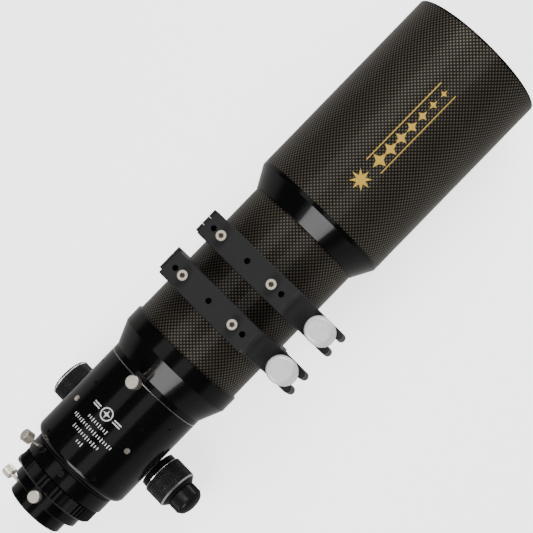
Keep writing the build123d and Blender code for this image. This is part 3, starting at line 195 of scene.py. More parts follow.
class ShaderTree:
    """Node tree of one material, with a Principled shader at its end."""

    def __init__(self, name: str) -> None:
        """Make an empty material with its output and shader.

        Args:
            name: The material's name.
        """
        self.material = bpy.data.materials.new(name)
        self.material.use_nodes = True
        self.nodes = self.material.node_tree.nodes
        self.links = self.material.node_tree.links
        self.nodes.clear()
        self.output = self.nodes.new("ShaderNodeOutputMaterial")
        self.shader = self.nodes.new("ShaderNodeBsdfPrincipled")
        self.links.new(self.shader.outputs[0], self.output.inputs["Surface"])

    def raw(self, kind: str, settings: dict, inputs: dict) -> bpy.types.Node:
        """Add one node.

        Args:
            kind: Blender's node type.
            settings: Attributes, set before the inputs.
            inputs: Values or signals by socket name or number.

        Returns:
            The node.
        """
        made = self.nodes.new(kind)
        for key, value in settings.items():
            setattr(made, key, value)
        for key, value in inputs.items():
            self.feed(made.inputs[key], value)
        return made

    def node(self, kind: str, settings: dict, inputs: dict, output: Union[int, str] = 0) -> Signal:
        """Add one node and return one of its outputs as a signal."""
        return Signal(self, self.raw(kind, settings, inputs).outputs[output])

    def feed(self, socket: bpy.types.NodeSocket, value: Value) -> None:
        """Link a signal to a socket, or set the socket's own value."""
        if isinstance(value, Signal):
            self.links.new(value.socket, socket)
        elif isinstance(value, tuple) and socket.type == "RGBA":
            socket.default_value = (*value, 1.0) if len(value) == 3 else value
        else:
            socket.default_value = value

    def set(self, **values: Value) -> "ShaderTree":
        """Set the shader's sockets, named with underscores for spaces."""
        for key, value in values.items():
            self.feed(self.shader.inputs[key.replace("_", " ")], value)
        return self

    def place(self) -> Signal:
        """Position in the row frame, in metres, which moves with its body."""
        return self.node("ShaderNodeTexCoord", {}, {}, "Object")

    def noise(self, scale: float, detail: float = 3.0, stretch: tuple = (1.0, 1.0, 1.0),
              roughness: float = 0.55) -> Signal:
        """Noise over the object's position.

        Args:
            scale: Cells in a metre.
            detail: Octaves.
            stretch: Factor on each axis, under one to draw the noise out.
            roughness: Strength of the finer octaves.

        Returns:
            A value near one half.
        """
        return self.node("ShaderNodeTexNoise", {},
                         {"Vector": self.place() * stretch, "Scale": scale, "Detail": detail,
                          "Roughness": roughness})

    def mix(self, factor: Value, low: Value, high: Value) -> Signal:
        """Blend two colours by a factor."""
        return self.node("ShaderNodeMix", {"data_type": "RGBA"}, {0: factor, 6: low, 7: high}, 2)

    def bump(self, height: Value, depth: float, strength: float = 1.0) -> Signal:
        """Normal from a height between zero and one.

        Args:
            height: The height.
            depth: Height of one unit, in metres.
            strength: Share of the effect kept.

        Returns:
            The normal.
        """
        return self.node("ShaderNodeBump", {}, {"Height": height, "Distance": depth,
                                                "Strength": strength})


# ---------------------------------------------------------------- finishes
@dataclass(frozen=True)
class CarbonWeave:
    """Plain-weave carbon under clear lacquer, wrapped round the optical axis."""

    radius: float
    cell: float = 2.1 * MM
    tow: Colour = (0.205, 0.178, 0.132)
    gap: Colour = (0.0022, 0.0022, 0.0018)
    across: Colour = (0.0120, 0.0110, 0.0090)
    lining: Colour = (0.004, 0.004, 0.004)
    lining_depth: float = 1.0 * MM

    def make(self, name: str) -> bpy.types.Material:
        """Build the weave.

        Args:
            name: The material's name.

        Returns:
            The material.
        """
        tree = ShaderTree(name)
        x, y, z = tree.place().parts()
        turn = tree.node("ShaderNodeMath", {"operation": "ARCTAN2"}, {0: y, 1: z - AXIS_HEIGHT})
        cells = round(2 * math.pi * self.radius / self.cell / 2) * 2
        along, round_axis = x / self.cell, turn * (cells / (2 * math.pi))
        checker = (along.floor() + round_axis.floor()) % 2.0
        tow_x = (((along % 1.0) - 0.5) * math.pi).wave()
        tow_y = (((round_axis % 1.0) - 0.5) * math.pi).wave()
        crown = ((tow_x ** 0.7) * (tow_y ** 1.5)).clamp()
        lengthwise = crown * checker
        crosswise = crown * (1.0 - checker)
        fibre = tree.noise(9000.0, 1.0, (0.05, 1.0, 1.0))
        patch = tree.noise(28.0, 2.0)
        bright = tree.mix(lengthwise * (0.62 + 0.5 * fibre) * (0.75 + 0.5 * patch), self.gap, self.tow)
        colour = tree.mix(crosswise * 0.8, bright, self.across)
        height = z - AXIS_HEIGHT
        outside = (y * y + height * height) ** 0.5 > self.radius - self.lining_depth
        smear = tree.noise(60.0, 4.0)
        tree.set(Base_Color=tree.mix(outside, self.lining, colour),
                 Roughness=(0.40 + 0.14 * (1.0 - crown)) * outside + 0.85 * (1.0 - outside),
                 Metallic=(0.15 + 0.75 * lengthwise) * outside,
                 Coat_Weight=(0.55 + 0.08 * smear) * outside, Coat_Roughness=0.06, Coat_IOR=1.28,
                 IOR=1.28, Specular_IOR_Level=0.3,
                 Normal=tree.bump(crown + 0.15 * fibre, 0.09 * MM, 0.55))
        return tree.material


@dataclass(frozen=True)
class Lacquer:
    """Hard black finish with a faint ripple, dust and random patches rubbed a little lighter."""

    colour: Colour = (0.0022, 0.0022, 0.0023)
    edge: Colour = (0.0065, 0.0065, 0.0062)
    rough: float = 0.16
    coat: float = 0.5
    grain: float = 1500.0
    grain_depth: float = 0.004 * MM
    metallic: float = 0.0
    ior: float = 1.28
    rims: tuple[tuple[float, float], ...] = ()
    rim_radius: float = 0.0
    rim_colour: Colour = (0.72, 0.71, 0.69)

    def _rim(self, tree: ShaderTree) -> Value:
        """Mask of the turned rims that show bright metal, between stations on the optical axis."""
        x, y, z = tree.place().parts()
        height = z - AXIS_HEIGHT
        reach = (y * y + height * height) ** 0.5
        mask = 0.0
        for low, high in self.rims:
            mask = (x > low) * (x < high) + mask
        return mask * (reach > self.rim_radius)

    def make(self, name: str) -> bpy.types.Material:
        """Build the lacquer.

        Args:
            name: The material's name.

        Returns:
            The material.
        """
        tree = ShaderTree(name)
        dust = tree.noise(900.0, 5.0).step(0.60, 0.78)
        ripple = tree.noise(55.0, 2.0)
        colour = tree.mix(dust * 0.3, self.colour, tuple(min(1.0, 2.0 * c + 0.002) for c in self.colour))
        colour = tree.mix(tree.noise(210.0, 4.0).step(0.52, 0.80) * 0.3, colour, self.edge)
        metal = self.metallic
        if self.rims:
            rim = self._rim(tree)
            colour = tree.mix(rim, colour, self.rim_colour)
            metal = rim * (0.9 - self.metallic) + self.metallic
        tree.set(Base_Color=colour, Roughness=self.rough + 0.10 * dust + 0.05 * ripple, Metallic=metal,
                 Coat_Weight=(self.coat - 0.15 * dust).clamp(), Coat_Roughness=0.05, Coat_IOR=self.ior,
                 IOR=self.ior, Specular_IOR_Level=0.4,
                 Normal=tree.bump(tree.noise(self.grain, 2.0), self.grain_depth, 0.5))
        return tree.material


@dataclass(frozen=True)
class TurnedMetal:
    """Metal with fine tool lines, either round an axis or drawn out along one."""

    colour: Colour = (0.60, 0.58, 0.55)
    dark: Colour = (0.34, 0.32, 0.30)
    rough: float = 0.24
    stretch: tuple = (1.0, 1.0, 0.04)
    scale: float = 4200.0
    depth: float = 0.006 * MM
    coat: float = 0.0
    metallic: float = 1.0

    def make(self, name: str) -> bpy.types.Material:
        """Build the metal.

        Args:
            name: The material's name.

        Returns:
            The material.
        """
        tree = ShaderTree(name)
        lines = tree.noise(self.scale, 3.0, self.stretch)
        stain = tree.noise(120.0, 4.0).step(0.42, 0.75)
        colour = tree.mix(lines * 0.5 + stain * 0.35, self.colour, self.dark)
        tree.set(Base_Color=colour, Roughness=self.rough + 0.14 * lines + 0.08 * stain,
                 Metallic=self.metallic, Coat_Weight=self.coat,
                 Normal=tree.bump(lines, self.depth, 0.4))
        return tree.material


@dataclass(frozen=True)
class SocketScrew:
    """Finish of four polished screw heads with painted shade in their hexagon sockets and round their edges,
    mirrored about a middle.
    """

    middle_x: float
    middle_y: float
    half_x: float
    half_y: float
    socket: float
    head: float

    def make(self, name: str) -> bpy.types.Material:
        """Build the finish.

        Args:
            name: The material's name.

        Returns:
            The material.
        """
        tree = ShaderTree(name)
        x, y, _ = tree.place().parts()
        dx = abs(x - self.middle_x) - self.half_x
        dy = abs(y - self.middle_y) - self.half_y
        reach = (dx * dx + dy * dy) ** 0.5
        slant = abs(dx) * 0.5 + abs(dy) * 0.866
        # painted shade: each hexagon socket is painted dark, and each head is painted darker towards its edge
        socket_shade = (abs(dx) < self.socket) * (slant < self.socket)
        edge_shade = reach.step(self.head * 0.80, self.head)
        lines = tree.noise(5200.0, 2.0)
        # the darker steel colour stands for tool lines and for the painted shade round each head's edge
        steel = tree.mix(lines * 0.4 + edge_shade * 0.6, (0.90, 0.83, 0.71), (0.34, 0.29, 0.22))
        tree.set(Base_Color=tree.mix(socket_shade, steel, (0.13, 0.105, 0.075)), Metallic=0.95 - 0.25 * socket_shade,
                 Roughness=0.20 + 0.10 * lines + 0.2 * socket_shade, Normal=tree.bump(lines, 0.008 * MM, 0.4))
        return tree.material


@dataclass(frozen=True)
class Felt:
    """Short black pile."""

    colour: Colour = (0.012, 0.012, 0.012)

    def make(self, name: str) -> bpy.types.Material:
        """Build the felt.

        Args:
            name: The material's name.

        Returns:
            The material.
        """
        tree = ShaderTree(name)
        pile = tree.noise(5200.0, 4.0)
        clump = tree.noise(420.0, 3.0)
        colour = tree.mix(pile * 0.6 + clump * 0.2, self.colour, (0.05, 0.05, 0.052))
        tree.set(Base_Color=colour, Roughness=0.86 + 0.1 * pile, Sheen_Weight=0.35, Sheen_Roughness=0.5,
                 Normal=tree.bump(pile + clump, 0.12 * MM, 0.8))
        return tree.material


@dataclass(frozen=True)
class CoatedGlass:
    """Multi-coated lens glass with a faint green and violet reflection."""

    def make(self, name: str) -> bpy.types.Material:
        """Build the glass.

        Args:
            name: The material's name.

        Returns:
            The material.
        """
        tree = ShaderTree(name)
        haze = tree.noise(40.0, 3.0)
        colour = tree.mix(haze, (0.90, 0.97, 0.93), (0.93, 0.90, 0.98))
        tree.set(Base_Color=colour, Roughness=0.004 + 0.012 * haze, IOR=1.46, Transmission_Weight=0.96,
                 Thin_Film_Thickness=420.0, Thin_Film_IOR=1.38)
        return tree.material


@dataclass(frozen=True)
class Print:
    """Thin screen print, slightly broken at its edges."""

    colour: Colour = (0.72, 0.72, 0.70)
    metallic: float = 0.0
    rough: float = 0.45

    def make(self, name: str) -> bpy.types.Material:
        """Build the print.

        Args:
            name: The material's name.

        Returns:
            The material.
        """
        tree = ShaderTree(name)
        speck = tree.noise(3800.0, 2.0)
        patch = tree.noise(160.0, 3.0)
        colour = tree.mix(speck * 0.35 + patch * 0.25, self.colour, tuple(0.62 * c for c in self.colour))
        tree.set(Base_Color=colour, Roughness=self.rough + 0.18 * speck, Metallic=self.metallic,
                 Normal=tree.bump(speck, 0.01 * MM, 0.4))
        return tree.material


@dataclass(frozen=True)
class Banded:
    """Black knob whose turned rim, between two stations along Y, is bright metal, with a painted highlight on
    its knurl ridge tops.
    """

    axis_x: float
    axis_z: float
    bands: tuple[tuple[float, float], ...]
    bright_radius: float

    def make(self, name: str) -> bpy.types.Material:
        """Build the finish.

        Args:
            name: The material's name.

        Returns:
            The material.
        """
        tree = ShaderTree(name)
        x, y, z = tree.place().parts()
        dx, dz = x - self.axis_x, z - self.axis_z
        reach = (dx * dx + dz * dz) ** 0.5
        rim = 0.0
        for low, high in self.bands:
            rim = (abs(y) > low) * (abs(y) < high) + rim
        rim = rim * (reach > self.bright_radius)
        lines = tree.noise(3600.0, 3.0, (1.0, 0.05, 1.0))
        dust = tree.noise(700.0, 4.0).step(0.55, 0.8)
        # painted highlight: the knurl ridge tops are painted lighter than the grooves; the lighter colour
        # also stands for dust
        ridge_top_highlight = reach.step(self.bright_radius + 0.9 * MM, self.bright_radius + 1.6 * MM)
        black = tree.mix(ridge_top_highlight * 0.75 + dust * 0.25, (0.0015, 0.0015, 0.0016), (0.016, 0.016, 0.0165))
        bright = tree.mix(lines, (0.80, 0.79, 0.77), (0.52, 0.51, 0.49))
        tree.set(Base_Color=tree.mix(rim, black, bright), Metallic=0.15 + 0.8 * rim,
                 Roughness=0.34 + 0.12 * dust - 0.12 * rim, Coat_Weight=0.1, IOR=1.3, Specular_IOR_Level=0.4,
                 Normal=tree.bump(tree.noise(2600.0, 2.0), 0.01 * MM, 0.5))
        return tree.material


FINISHES = {
    "gloss_black": Lacquer(),
    "black_anodised": Lacquer(colour=(0.0045, 0.0045, 0.0048), rough=0.36, coat=0.1, grain=5200.0,
                              grain_depth=0.012 * MM, metallic=0.1),
    "matt_black": Lacquer(colour=(0.003, 0.003, 0.003), edge=(0.01, 0.01, 0.01), rough=0.8, coat=0.0,
                          grain=2600.0, grain_depth=0.03 * MM),
    "ring_anodised": Lacquer(colour=(0.020, 0.020, 0.0208), edge=(0.032, 0.032, 0.033), rough=0.40,
                             coat=0.1, grain=3600.0, grain_depth=0.014 * MM, metallic=0.1),
    "silver_knob": TurnedMetal(colour=(0.96, 0.96, 0.95), dark=(0.78, 0.78, 0.78), rough=0.30,
                               stretch=(1.0, 1.0, 0.15), scale=2600.0, metallic=0.5),
    "stainless": TurnedMetal(colour=(0.86, 0.80, 0.71), dark=(0.52, 0.47, 0.41), rough=0.27, metallic=0.95),
    "black_steel": TurnedMetal(colour=(0.014, 0.014, 0.0145), dark=(0.006, 0.006, 0.006), rough=0.38,
                               metallic=0.8, coat=0.1),
    "gear_steel": TurnedMetal(colour=(0.50, 0.50, 0.51), dark=(0.27, 0.27, 0.28), rough=0.26,
                              stretch=(1.0, 0.05, 1.0)),
    "bronze": TurnedMetal(colour=(0.50, 0.33, 0.15), dark=(0.24, 0.14, 0.06), rough=0.38,
                          stretch=(1.0, 0.1, 1.0), scale=2400.0),
    "brass_ring": TurnedMetal(colour=(0.78, 0.57, 0.25), dark=(0.48, 0.31, 0.12), rough=0.25,
                              stretch=(0.05, 1.0, 1.0)),
    "felt": Felt(),
    "coated_glass": CoatedGlass(),
}


# ---------------------------------------------------------------- meshes
class Shape:
    """Mesh in the row frame that is filled face by face and then becomes a piece."""

    def __init__(self) -> None:
        """Start empty."""
        self.mesh = bmesh.new()

    def ring(self, points: Iterable[Vector]) -> list[bmesh.types.BMVert]:
        """Add a row of points."""
        return [self.mesh.verts.new(point) for point in points]

    def bridge(self, first: Sequence, second: Sequence, closed: bool = True) -> None:
        """Join two rows of equal length with quads.

        Args:
            first: One row.
            second: The next row.
            closed: Whether the rows run all the way round.
        """
        count = len(first)
        for number in range(count if closed else count - 1):
            following = (number + 1) % count
            self.mesh.faces.new((first[number], first[following], second[following], second[number]))

    def cap(self, row: Sequence, flip: bool = False) -> None:
        """Close a row with one face."""
        self.mesh.faces.new(list(reversed(row)) if flip else list(row))

    def finish(self, name: str, sharp: float = 32.0) -> bpy.types.Object:
        """Turn the mesh into an object of the scene.

        Args:
            name: The piece's name.
            sharp: Angle in degrees above which an edge stays sharp.

        Returns:
            The object.
        """
        bmesh.ops.remove_doubles(self.mesh, verts=self.mesh.verts, dist=1e-7)
        bmesh.ops.recalc_face_normals(self.mesh, faces=self.mesh.faces)
        data = bpy.data.meshes.new(name)
        self.mesh.to_mesh(data)
        self.mesh.free()
        data.shade_smooth()
        data.set_sharp_from_angle(angle=math.radians(sharp))
        made = bpy.data.objects.new(name, data)
        bpy.context.scene.collection.objects.link(made)
        return made


@dataclass
class Spindle:
    """Axis along Y that turned pieces spin about."""

    axis_x: float
    axis_z: float
    segments: int

    def point(self, station: float, radius: float, turn: float) -> Vector:
        """Place of a point by its station along Y, its radius and its turn."""
        return Vector((self.axis_x + math.sin(turn) * radius, station, self.axis_z + math.cos(turn) * radius))

    def turned(self, name: str, outline: Sequence[tuple[float, float]],
               relief: Callable[[float, float, float], float]) -> bpy.types.Object:
        """Spin a closed outline that keeps clear of the axis.

        Args:
            name: The piece's name.
            outline: Station and radius of each corner, going round.
            relief: Cut into the radius, from the station, the radius and the turn.

        Returns:
            The object.
        """
        shape = Shape()
        turns = [2 * math.pi * number / self.segments for number in range(self.segments)]
        rows = []
        for station, radius in outline:
            rows.append(shape.ring(self.point(station, radius - relief(station, radius, turn), turn)
                                   for turn in turns))
        for first, second in zip(rows, rows[1:] + rows[:1]):
            shape.bridge(first, second)
        return shape.finish(name)


def rounded(outline: Sequence[Corner], steps: int = 4) -> list[tuple[float, float]]:
    """Outline with its corners rounded.

    Args:
        outline: Station, radius and rounding of each corner, going round.
        steps: Points on each rounded corner, less one.

    Returns:
        The points of the rounded outline.
    """
    made = []
    count = len(outline)
    for number, (station, radius, size) in enumerate(outline):
        corner = Vector((station, radius))
        if size <= 0:
            made.append((station, radius))
            continue
        before = Vector(outline[number - 1][:2]) - corner
        after = Vector(outline[(number + 1) % count][:2]) - corner
        start = corner + before.normalized() * min(size, before.length * 0.49)
        end = corner + after.normalized() * min(size, after.length * 0.49)
        for step in range(steps + 1):
            share = step / steps
            point = start.lerp(corner, share).lerp(corner.lerp(end, share), share)
            made.append((point.x, point.y))
    return made


@dataclass(frozen=True)
class GridKnurl:
    """Square knurl cut between two stations: grooves along the axis and round it."""

    low: float
    high: float
    ridges: int
    pitch: float
    depth: float
    at_least: float

    def __call__(self, station: float, radius: float, turn: float) -> float:
        """Depth of the cut at one point."""
        if not self.low <= station <= self.high or radius < self.at_least:
            return 0.0
        along, about = (station - self.low) / self.pitch, turn * self.ridges / (2 * math.pi)
        across, round_axis = (abs((value % 1.0) - 0.5) * 2 for value in (along, about))
        return self.depth * max(across, round_axis) ** 3


class SkinPrint:
    """Flat shapes printed on a cylinder about the optical axis."""

    def __init__(self, radius: float, thickness: float = 0.05 * MM, step: float = 1.4 * MM) -> None:
        """Keep the cylinder's radius, the print's thickness and the width of its flat strips."""
        self.radius = radius
        self.thickness = thickness
        self.step = step
        self.shape = Shape()

    def place(self, x: float, arc: float, lift: float) -> Vector:
        """Flat point at a station and an arc length from the top, towards the hinge side."""
        return Vector((x, arc, lift))

    def strip(self, low: tuple[float, float], high: tuple[float, float]) -> None:
        """Print a rectangle between two (x, arc) corners."""
        rows = [self.shape.ring(self.place(x, arc, lift) for x, lift in
                                ((low[0], 0.0), (low[0], self.thickness), (high[0], self.thickness),
                                 (high[0], 0.0))) for arc in (low[1], high[1])]
        self.shape.bridge(*rows)
        self.shape.cap(rows[0], True)
        self.shape.cap(rows[-1])

    def star(self, x: float, arc: float, size: float, points: int, waist: float,
             stretch: float = 1.0) -> None:
        """Print a star.

        Args:
            x: Station of its middle.
            arc: Arc length of its middle.
            size: Reach of its points.
            points: How many points it has.
            waist: Share of the reach between two points.
            stretch: Factor on its length along the axis.
        """
        corners = []
        for number in range(2 * points):
            turn = math.pi * number / points
            reach = size * (1.0 if number % 2 == 0 else waist)
            corners.append((x + math.cos(turn) * reach * stretch, arc + math.sin(turn) * reach))
        bottom, top = (self.shape.ring(self.place(cx, ca, lift) for cx, ca in corners)
                       for lift in (0.0, self.thickness))
        self.shape.bridge(bottom, top)
        for row, lift, flip in ((bottom, 0.0, True), (top, self.thickness, False)):
            middle = self.shape.mesh.verts.new(self.place(x, arc, lift))
            for number, vert in enumerate(row):
                following = row[(number + 1) % len(row)]
                self.shape.mesh.faces.new((middle, following, vert) if flip else (middle, vert, following))

    def circle(self, x: float, arc: float, outer: float, inner: float, segments: int = 40) -> None:
        """Print a ring."""
        turns = [2 * math.pi * number / segments for number in range(segments)]
        rows = [self.shape.ring(self.place(x + math.cos(turn) * reach, arc + math.sin(turn) * reach, lift)
                                for turn in turns)
                for reach, lift in ((inner, 0.0), (inner, self.thickness), (outer, self.thickness),
                                    (outer, 0.0))]
        for first, second in zip(rows, rows[1:] + rows[:1]):
            self.shape.bridge(first, second)

    def finish(self, name: str) -> bpy.types.Object:
        """Cut the flat print into narrow strips, wrap it on the cylinder and make it a piece."""
        mesh = self.shape.mesh
        arcs = [vert.co.y for vert in mesh.verts]
        for number in range(math.ceil(min(arcs) / self.step), math.floor(max(arcs) / self.step) + 1):
            bmesh.ops.bisect_plane(mesh, geom=mesh.verts[:] + mesh.edges[:] + mesh.faces[:],
                                   plane_co=(0.0, number * self.step, 0.0), plane_no=(0.0, 1.0, 0.0))
        for vert in mesh.verts:
            turn, reach = vert.co.y / self.radius, self.radius + vert.co.z
            vert.co = (vert.co.x, math.sin(turn) * reach, AXIS_HEIGHT + math.cos(turn) * reach)
        return self.shape.finish(name)


# ---------------------------------------------------------------- assemblies
def middle(node: str) -> Vector:
    """Middle of a CAD node's box at rest."""
    low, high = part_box(node)
    return (low + high) / 2


def dress(piece: bpy.types.Object, material: bpy.types.Material) -> None:
    """Give a piece one material in place of any it has."""
    piece.data.materials.clear()
    piece.data.materials.append(material)


@dataclass
class Workshop:
    """Holds the finishes made so far."""

    materials: dict[str, bpy.types.Material] = field(default_factory=dict)

    def material(self, name: str, finish: Optional[object] = None) -> bpy.types.Material:
        """One shared material, made the first time it is asked for.

        Args:
            name: The finish's name, or a new name where a finish is given.
            finish: A finish that isn't among the record's slots.

        Returns:
            The material.
        """
        if name not in self.materials:
            self.materials[name] = (finish or FINISHES[name]).make(f"finish_{name}")
        return self.materials[name]

    def paint(self, nodes: Iterable[str], name: str, finish: Optional[object] = None) -> None:
        """Give CAD nodes a material."""
        for node in nodes:
            dress(frame["nodes"][node], self.material(name, finish))

    def fit(self, piece: bpy.types.Object, body: str, slot: Slot, material: bpy.types.Material,
            stands_for: Sequence[str] = ()) -> None:
        """Put a new piece on its body, dress it and report it.

        Args:
            piece: The new piece.
            body: CAD body that it rides on.
            slot: Not used.
            material: Its material.
            stands_for: CAD nodes that it replaces.
        """
        dress(piece, material)
        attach(piece, body)
        if stands_for:
            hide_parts(*stands_for)
        LOG.info("%s rides on %s", piece.name, body)

    def dress_rest(self) -> None:
        """Give every CAD node that has no special finish the finish of its slot."""
        for entry in frame["record"]["subparts"]:
            node = frame["nodes"][entry["node"]]
            shown = [material for material in node.data.materials if material]
            if not any(material.name.startswith("finish_") for material in shown):
                dress(node, self.material(entry["material_slot"]))


@dataclass
class OpticalTube:
    """Main tube and its weave."""

    shop: Workshop
    radius: float = field(init=False)

    def __post_init__(self) -> None:
        """Read the tube's radius from the frame."""
        low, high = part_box("main_tube")
        self.radius = (high.y - low.y) / 2

    def build(self) -> None:
        """Dress the tube."""
        self.shop.paint(["main_tube"], "tube_weave", CarbonWeave(self.radius))
        LOG.info("main tube dressed in its weave")


@dataclass
class TubeRings:
    """Screws in the flat tops of the two hinged rings."""

    shop: Workshop
    head_radius: float = 5.0 * MM
    socket: float = 2.3 * MM

    def build(self) -> None:
        """Dress the four screws in the flat tops, with painted shade in their sockets and round their edges.
        """
        low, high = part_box("ring_cap_screws")
        centre = (low + high) / 2
        finish = SocketScrew(centre.x, centre.y, (high.x - low.x) / 2 - self.head_radius,
                             (high.y - low.y) / 2 - self.head_radius, self.socket, self.head_radius)
        self.shop.paint(["ring_cap_screws"], "ring_screw_steel", finish)
        LOG.info("ring screws dressed")


@dataclass
class DewShield:
    """Sliding shield with its gold decoration."""

    shop: Workshop
    mark_start: float = 135.0 * MM
    mark_end: float = 262.0 * MM
    mark_arc: float = -22.0 * MM
    star_size: float = 10.5 * MM
    line_width: float = 0.9 * MM
    line_offset: float = 0.86
    waist: float = 0.42
    large_points: int = 8
    trail_count: int = 7
    trail_points: int = 4
    trail_stretch: float = 1.15

    def build(self) -> None:
        """Dress the shield and print its mark."""
        low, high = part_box("dew_shield_tube")
        radius = (high.y - low.y) / 2
        self.shop.paint(["dew_shield_tube"], "shield_weave", CarbonWeave(radius))
        self._print_mark(radius)

    def _print_mark(self, radius: float) -> None:
        """Print a large star and a trail of smaller ones between two fine lines."""
        mark = SkinPrint(radius)
        star_x = self.mark_start + self.star_size * 1.3
        mark.star(star_x, self.mark_arc, self.star_size, self.large_points, self.waist)
        trail = star_x + self.star_size * 1.6
        for number in range(self.trail_count):
            share = number / (self.trail_count - 1)
            x = trail + (self.mark_end - trail) * (0.08 + 0.86 * share)
            size = self.star_size * (0.74 - 0.40 * share)
            mark.star(x, self.mark_arc, size, self.trail_points, self.waist, self.trail_stretch)
        for side in Side:
            arc = self.mark_arc + side.value * self.star_size * self.line_offset
            mark.strip((trail, arc - self.line_width / 2), (self.mark_end, arc + self.line_width / 2))
        gold = self.shop.material("gold_print", Print((0.66, 0.42, 0.055), 0.15, 0.36))
        self.shop.fit(mark.finish("dew_shield_star_mark"), "dew_shield", Slot.CARBON, gold)


@dataclass
class Focuser:
    """Focuser body with its printed marks."""

    shop: Workshop
    chamfer: float = 0.85 * MM
    rim_depth: float = 1.2 * MM
    first_row: float = 0.235
    row_pitch: float = 8.0 * MM
    row_lengths: tuple[float, ...] = (8.0 * MM, 35.0 * MM, 52.0 * MM, 25.0 * MM)
    bar_height: float = 2.9 * MM
    tall_bar: float = 1.45
    bar_pitch: float = 2.9 * MM
    bar_width: float = 0.9 * MM
    crest_row: float = 4.55
    crest_outer: float = 6.5 * MM
    crest_inner: float = 5.3 * MM
    crest_star: float = 4.6 * MM
    wing_start: float = 9.0 * MM
    wing_end: float = 18.0 * MM
    wing_offset: float = 1.3 * MM
    wing_width: float = 1.2 * MM

    def build(self) -> None:
        """Dress the body and print the white marks on its top."""
        low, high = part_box("focuser_body")
        radius = (high.y - low.y) / 2
        rims = ((high.x - self.chamfer, high.x + self.chamfer),)
        self.shop.paint(["focuser_body"], "focuser_lacquer",
                        Lacquer(rims=rims, rim_radius=radius - self.rim_depth))
        mark = SkinPrint(radius)
        first = low.x + (high.x - low.x) * self.first_row
        for row, length in enumerate(self.row_lengths):
            self._bars(mark, first + row * self.row_pitch, length, row)
        self._crest(mark, first + self.crest_row * self.row_pitch)
        white = self.shop.material("white_print", Print())
        self.shop.fit(mark.finish("focuser_marks"), "focuser", Slot.GLOSS_BLACK, white)

    def _bars(self, mark: SkinPrint, x: float, length: float, row: int) -> None:
        """Print one row of short bars, like a rule's graduations.

        Args:
            mark: The print.
            x: Station of the row.
            length: Length of the row round the body.
            row: Row number, which varies the bars.
        """
        count = max(2, round(length / self.bar_pitch))
        for number in range(count):
            arc = (number - (count - 1) / 2) * self.bar_pitch
            tall = self.bar_height * (1.0 if (number + row) % 3 else self.tall_bar)
            mark.strip((x - tall / 2, arc - self.bar_width / 2), (x + tall / 2, arc + self.bar_width / 2))

    def _crest(self, mark: SkinPrint, x: float) -> None:
        """Print a ring round a star, with two bars on each side.

        Args:
            mark: The print.
            x: Station of its middle.
        """
        mark.circle(x, 0.0, self.crest_outer, self.crest_inner)
        mark.star(x, 0.0, self.crest_star, 4, 0.3)
        for side in Side:
            start, end = sorted((side.value * self.wing_start, side.value * self.wing_end))
            for shift in (-self.wing_offset, self.wing_offset):
                mark.strip((x + shift - self.wing_width / 2, start), (x + shift + self.wing_width / 2, end))


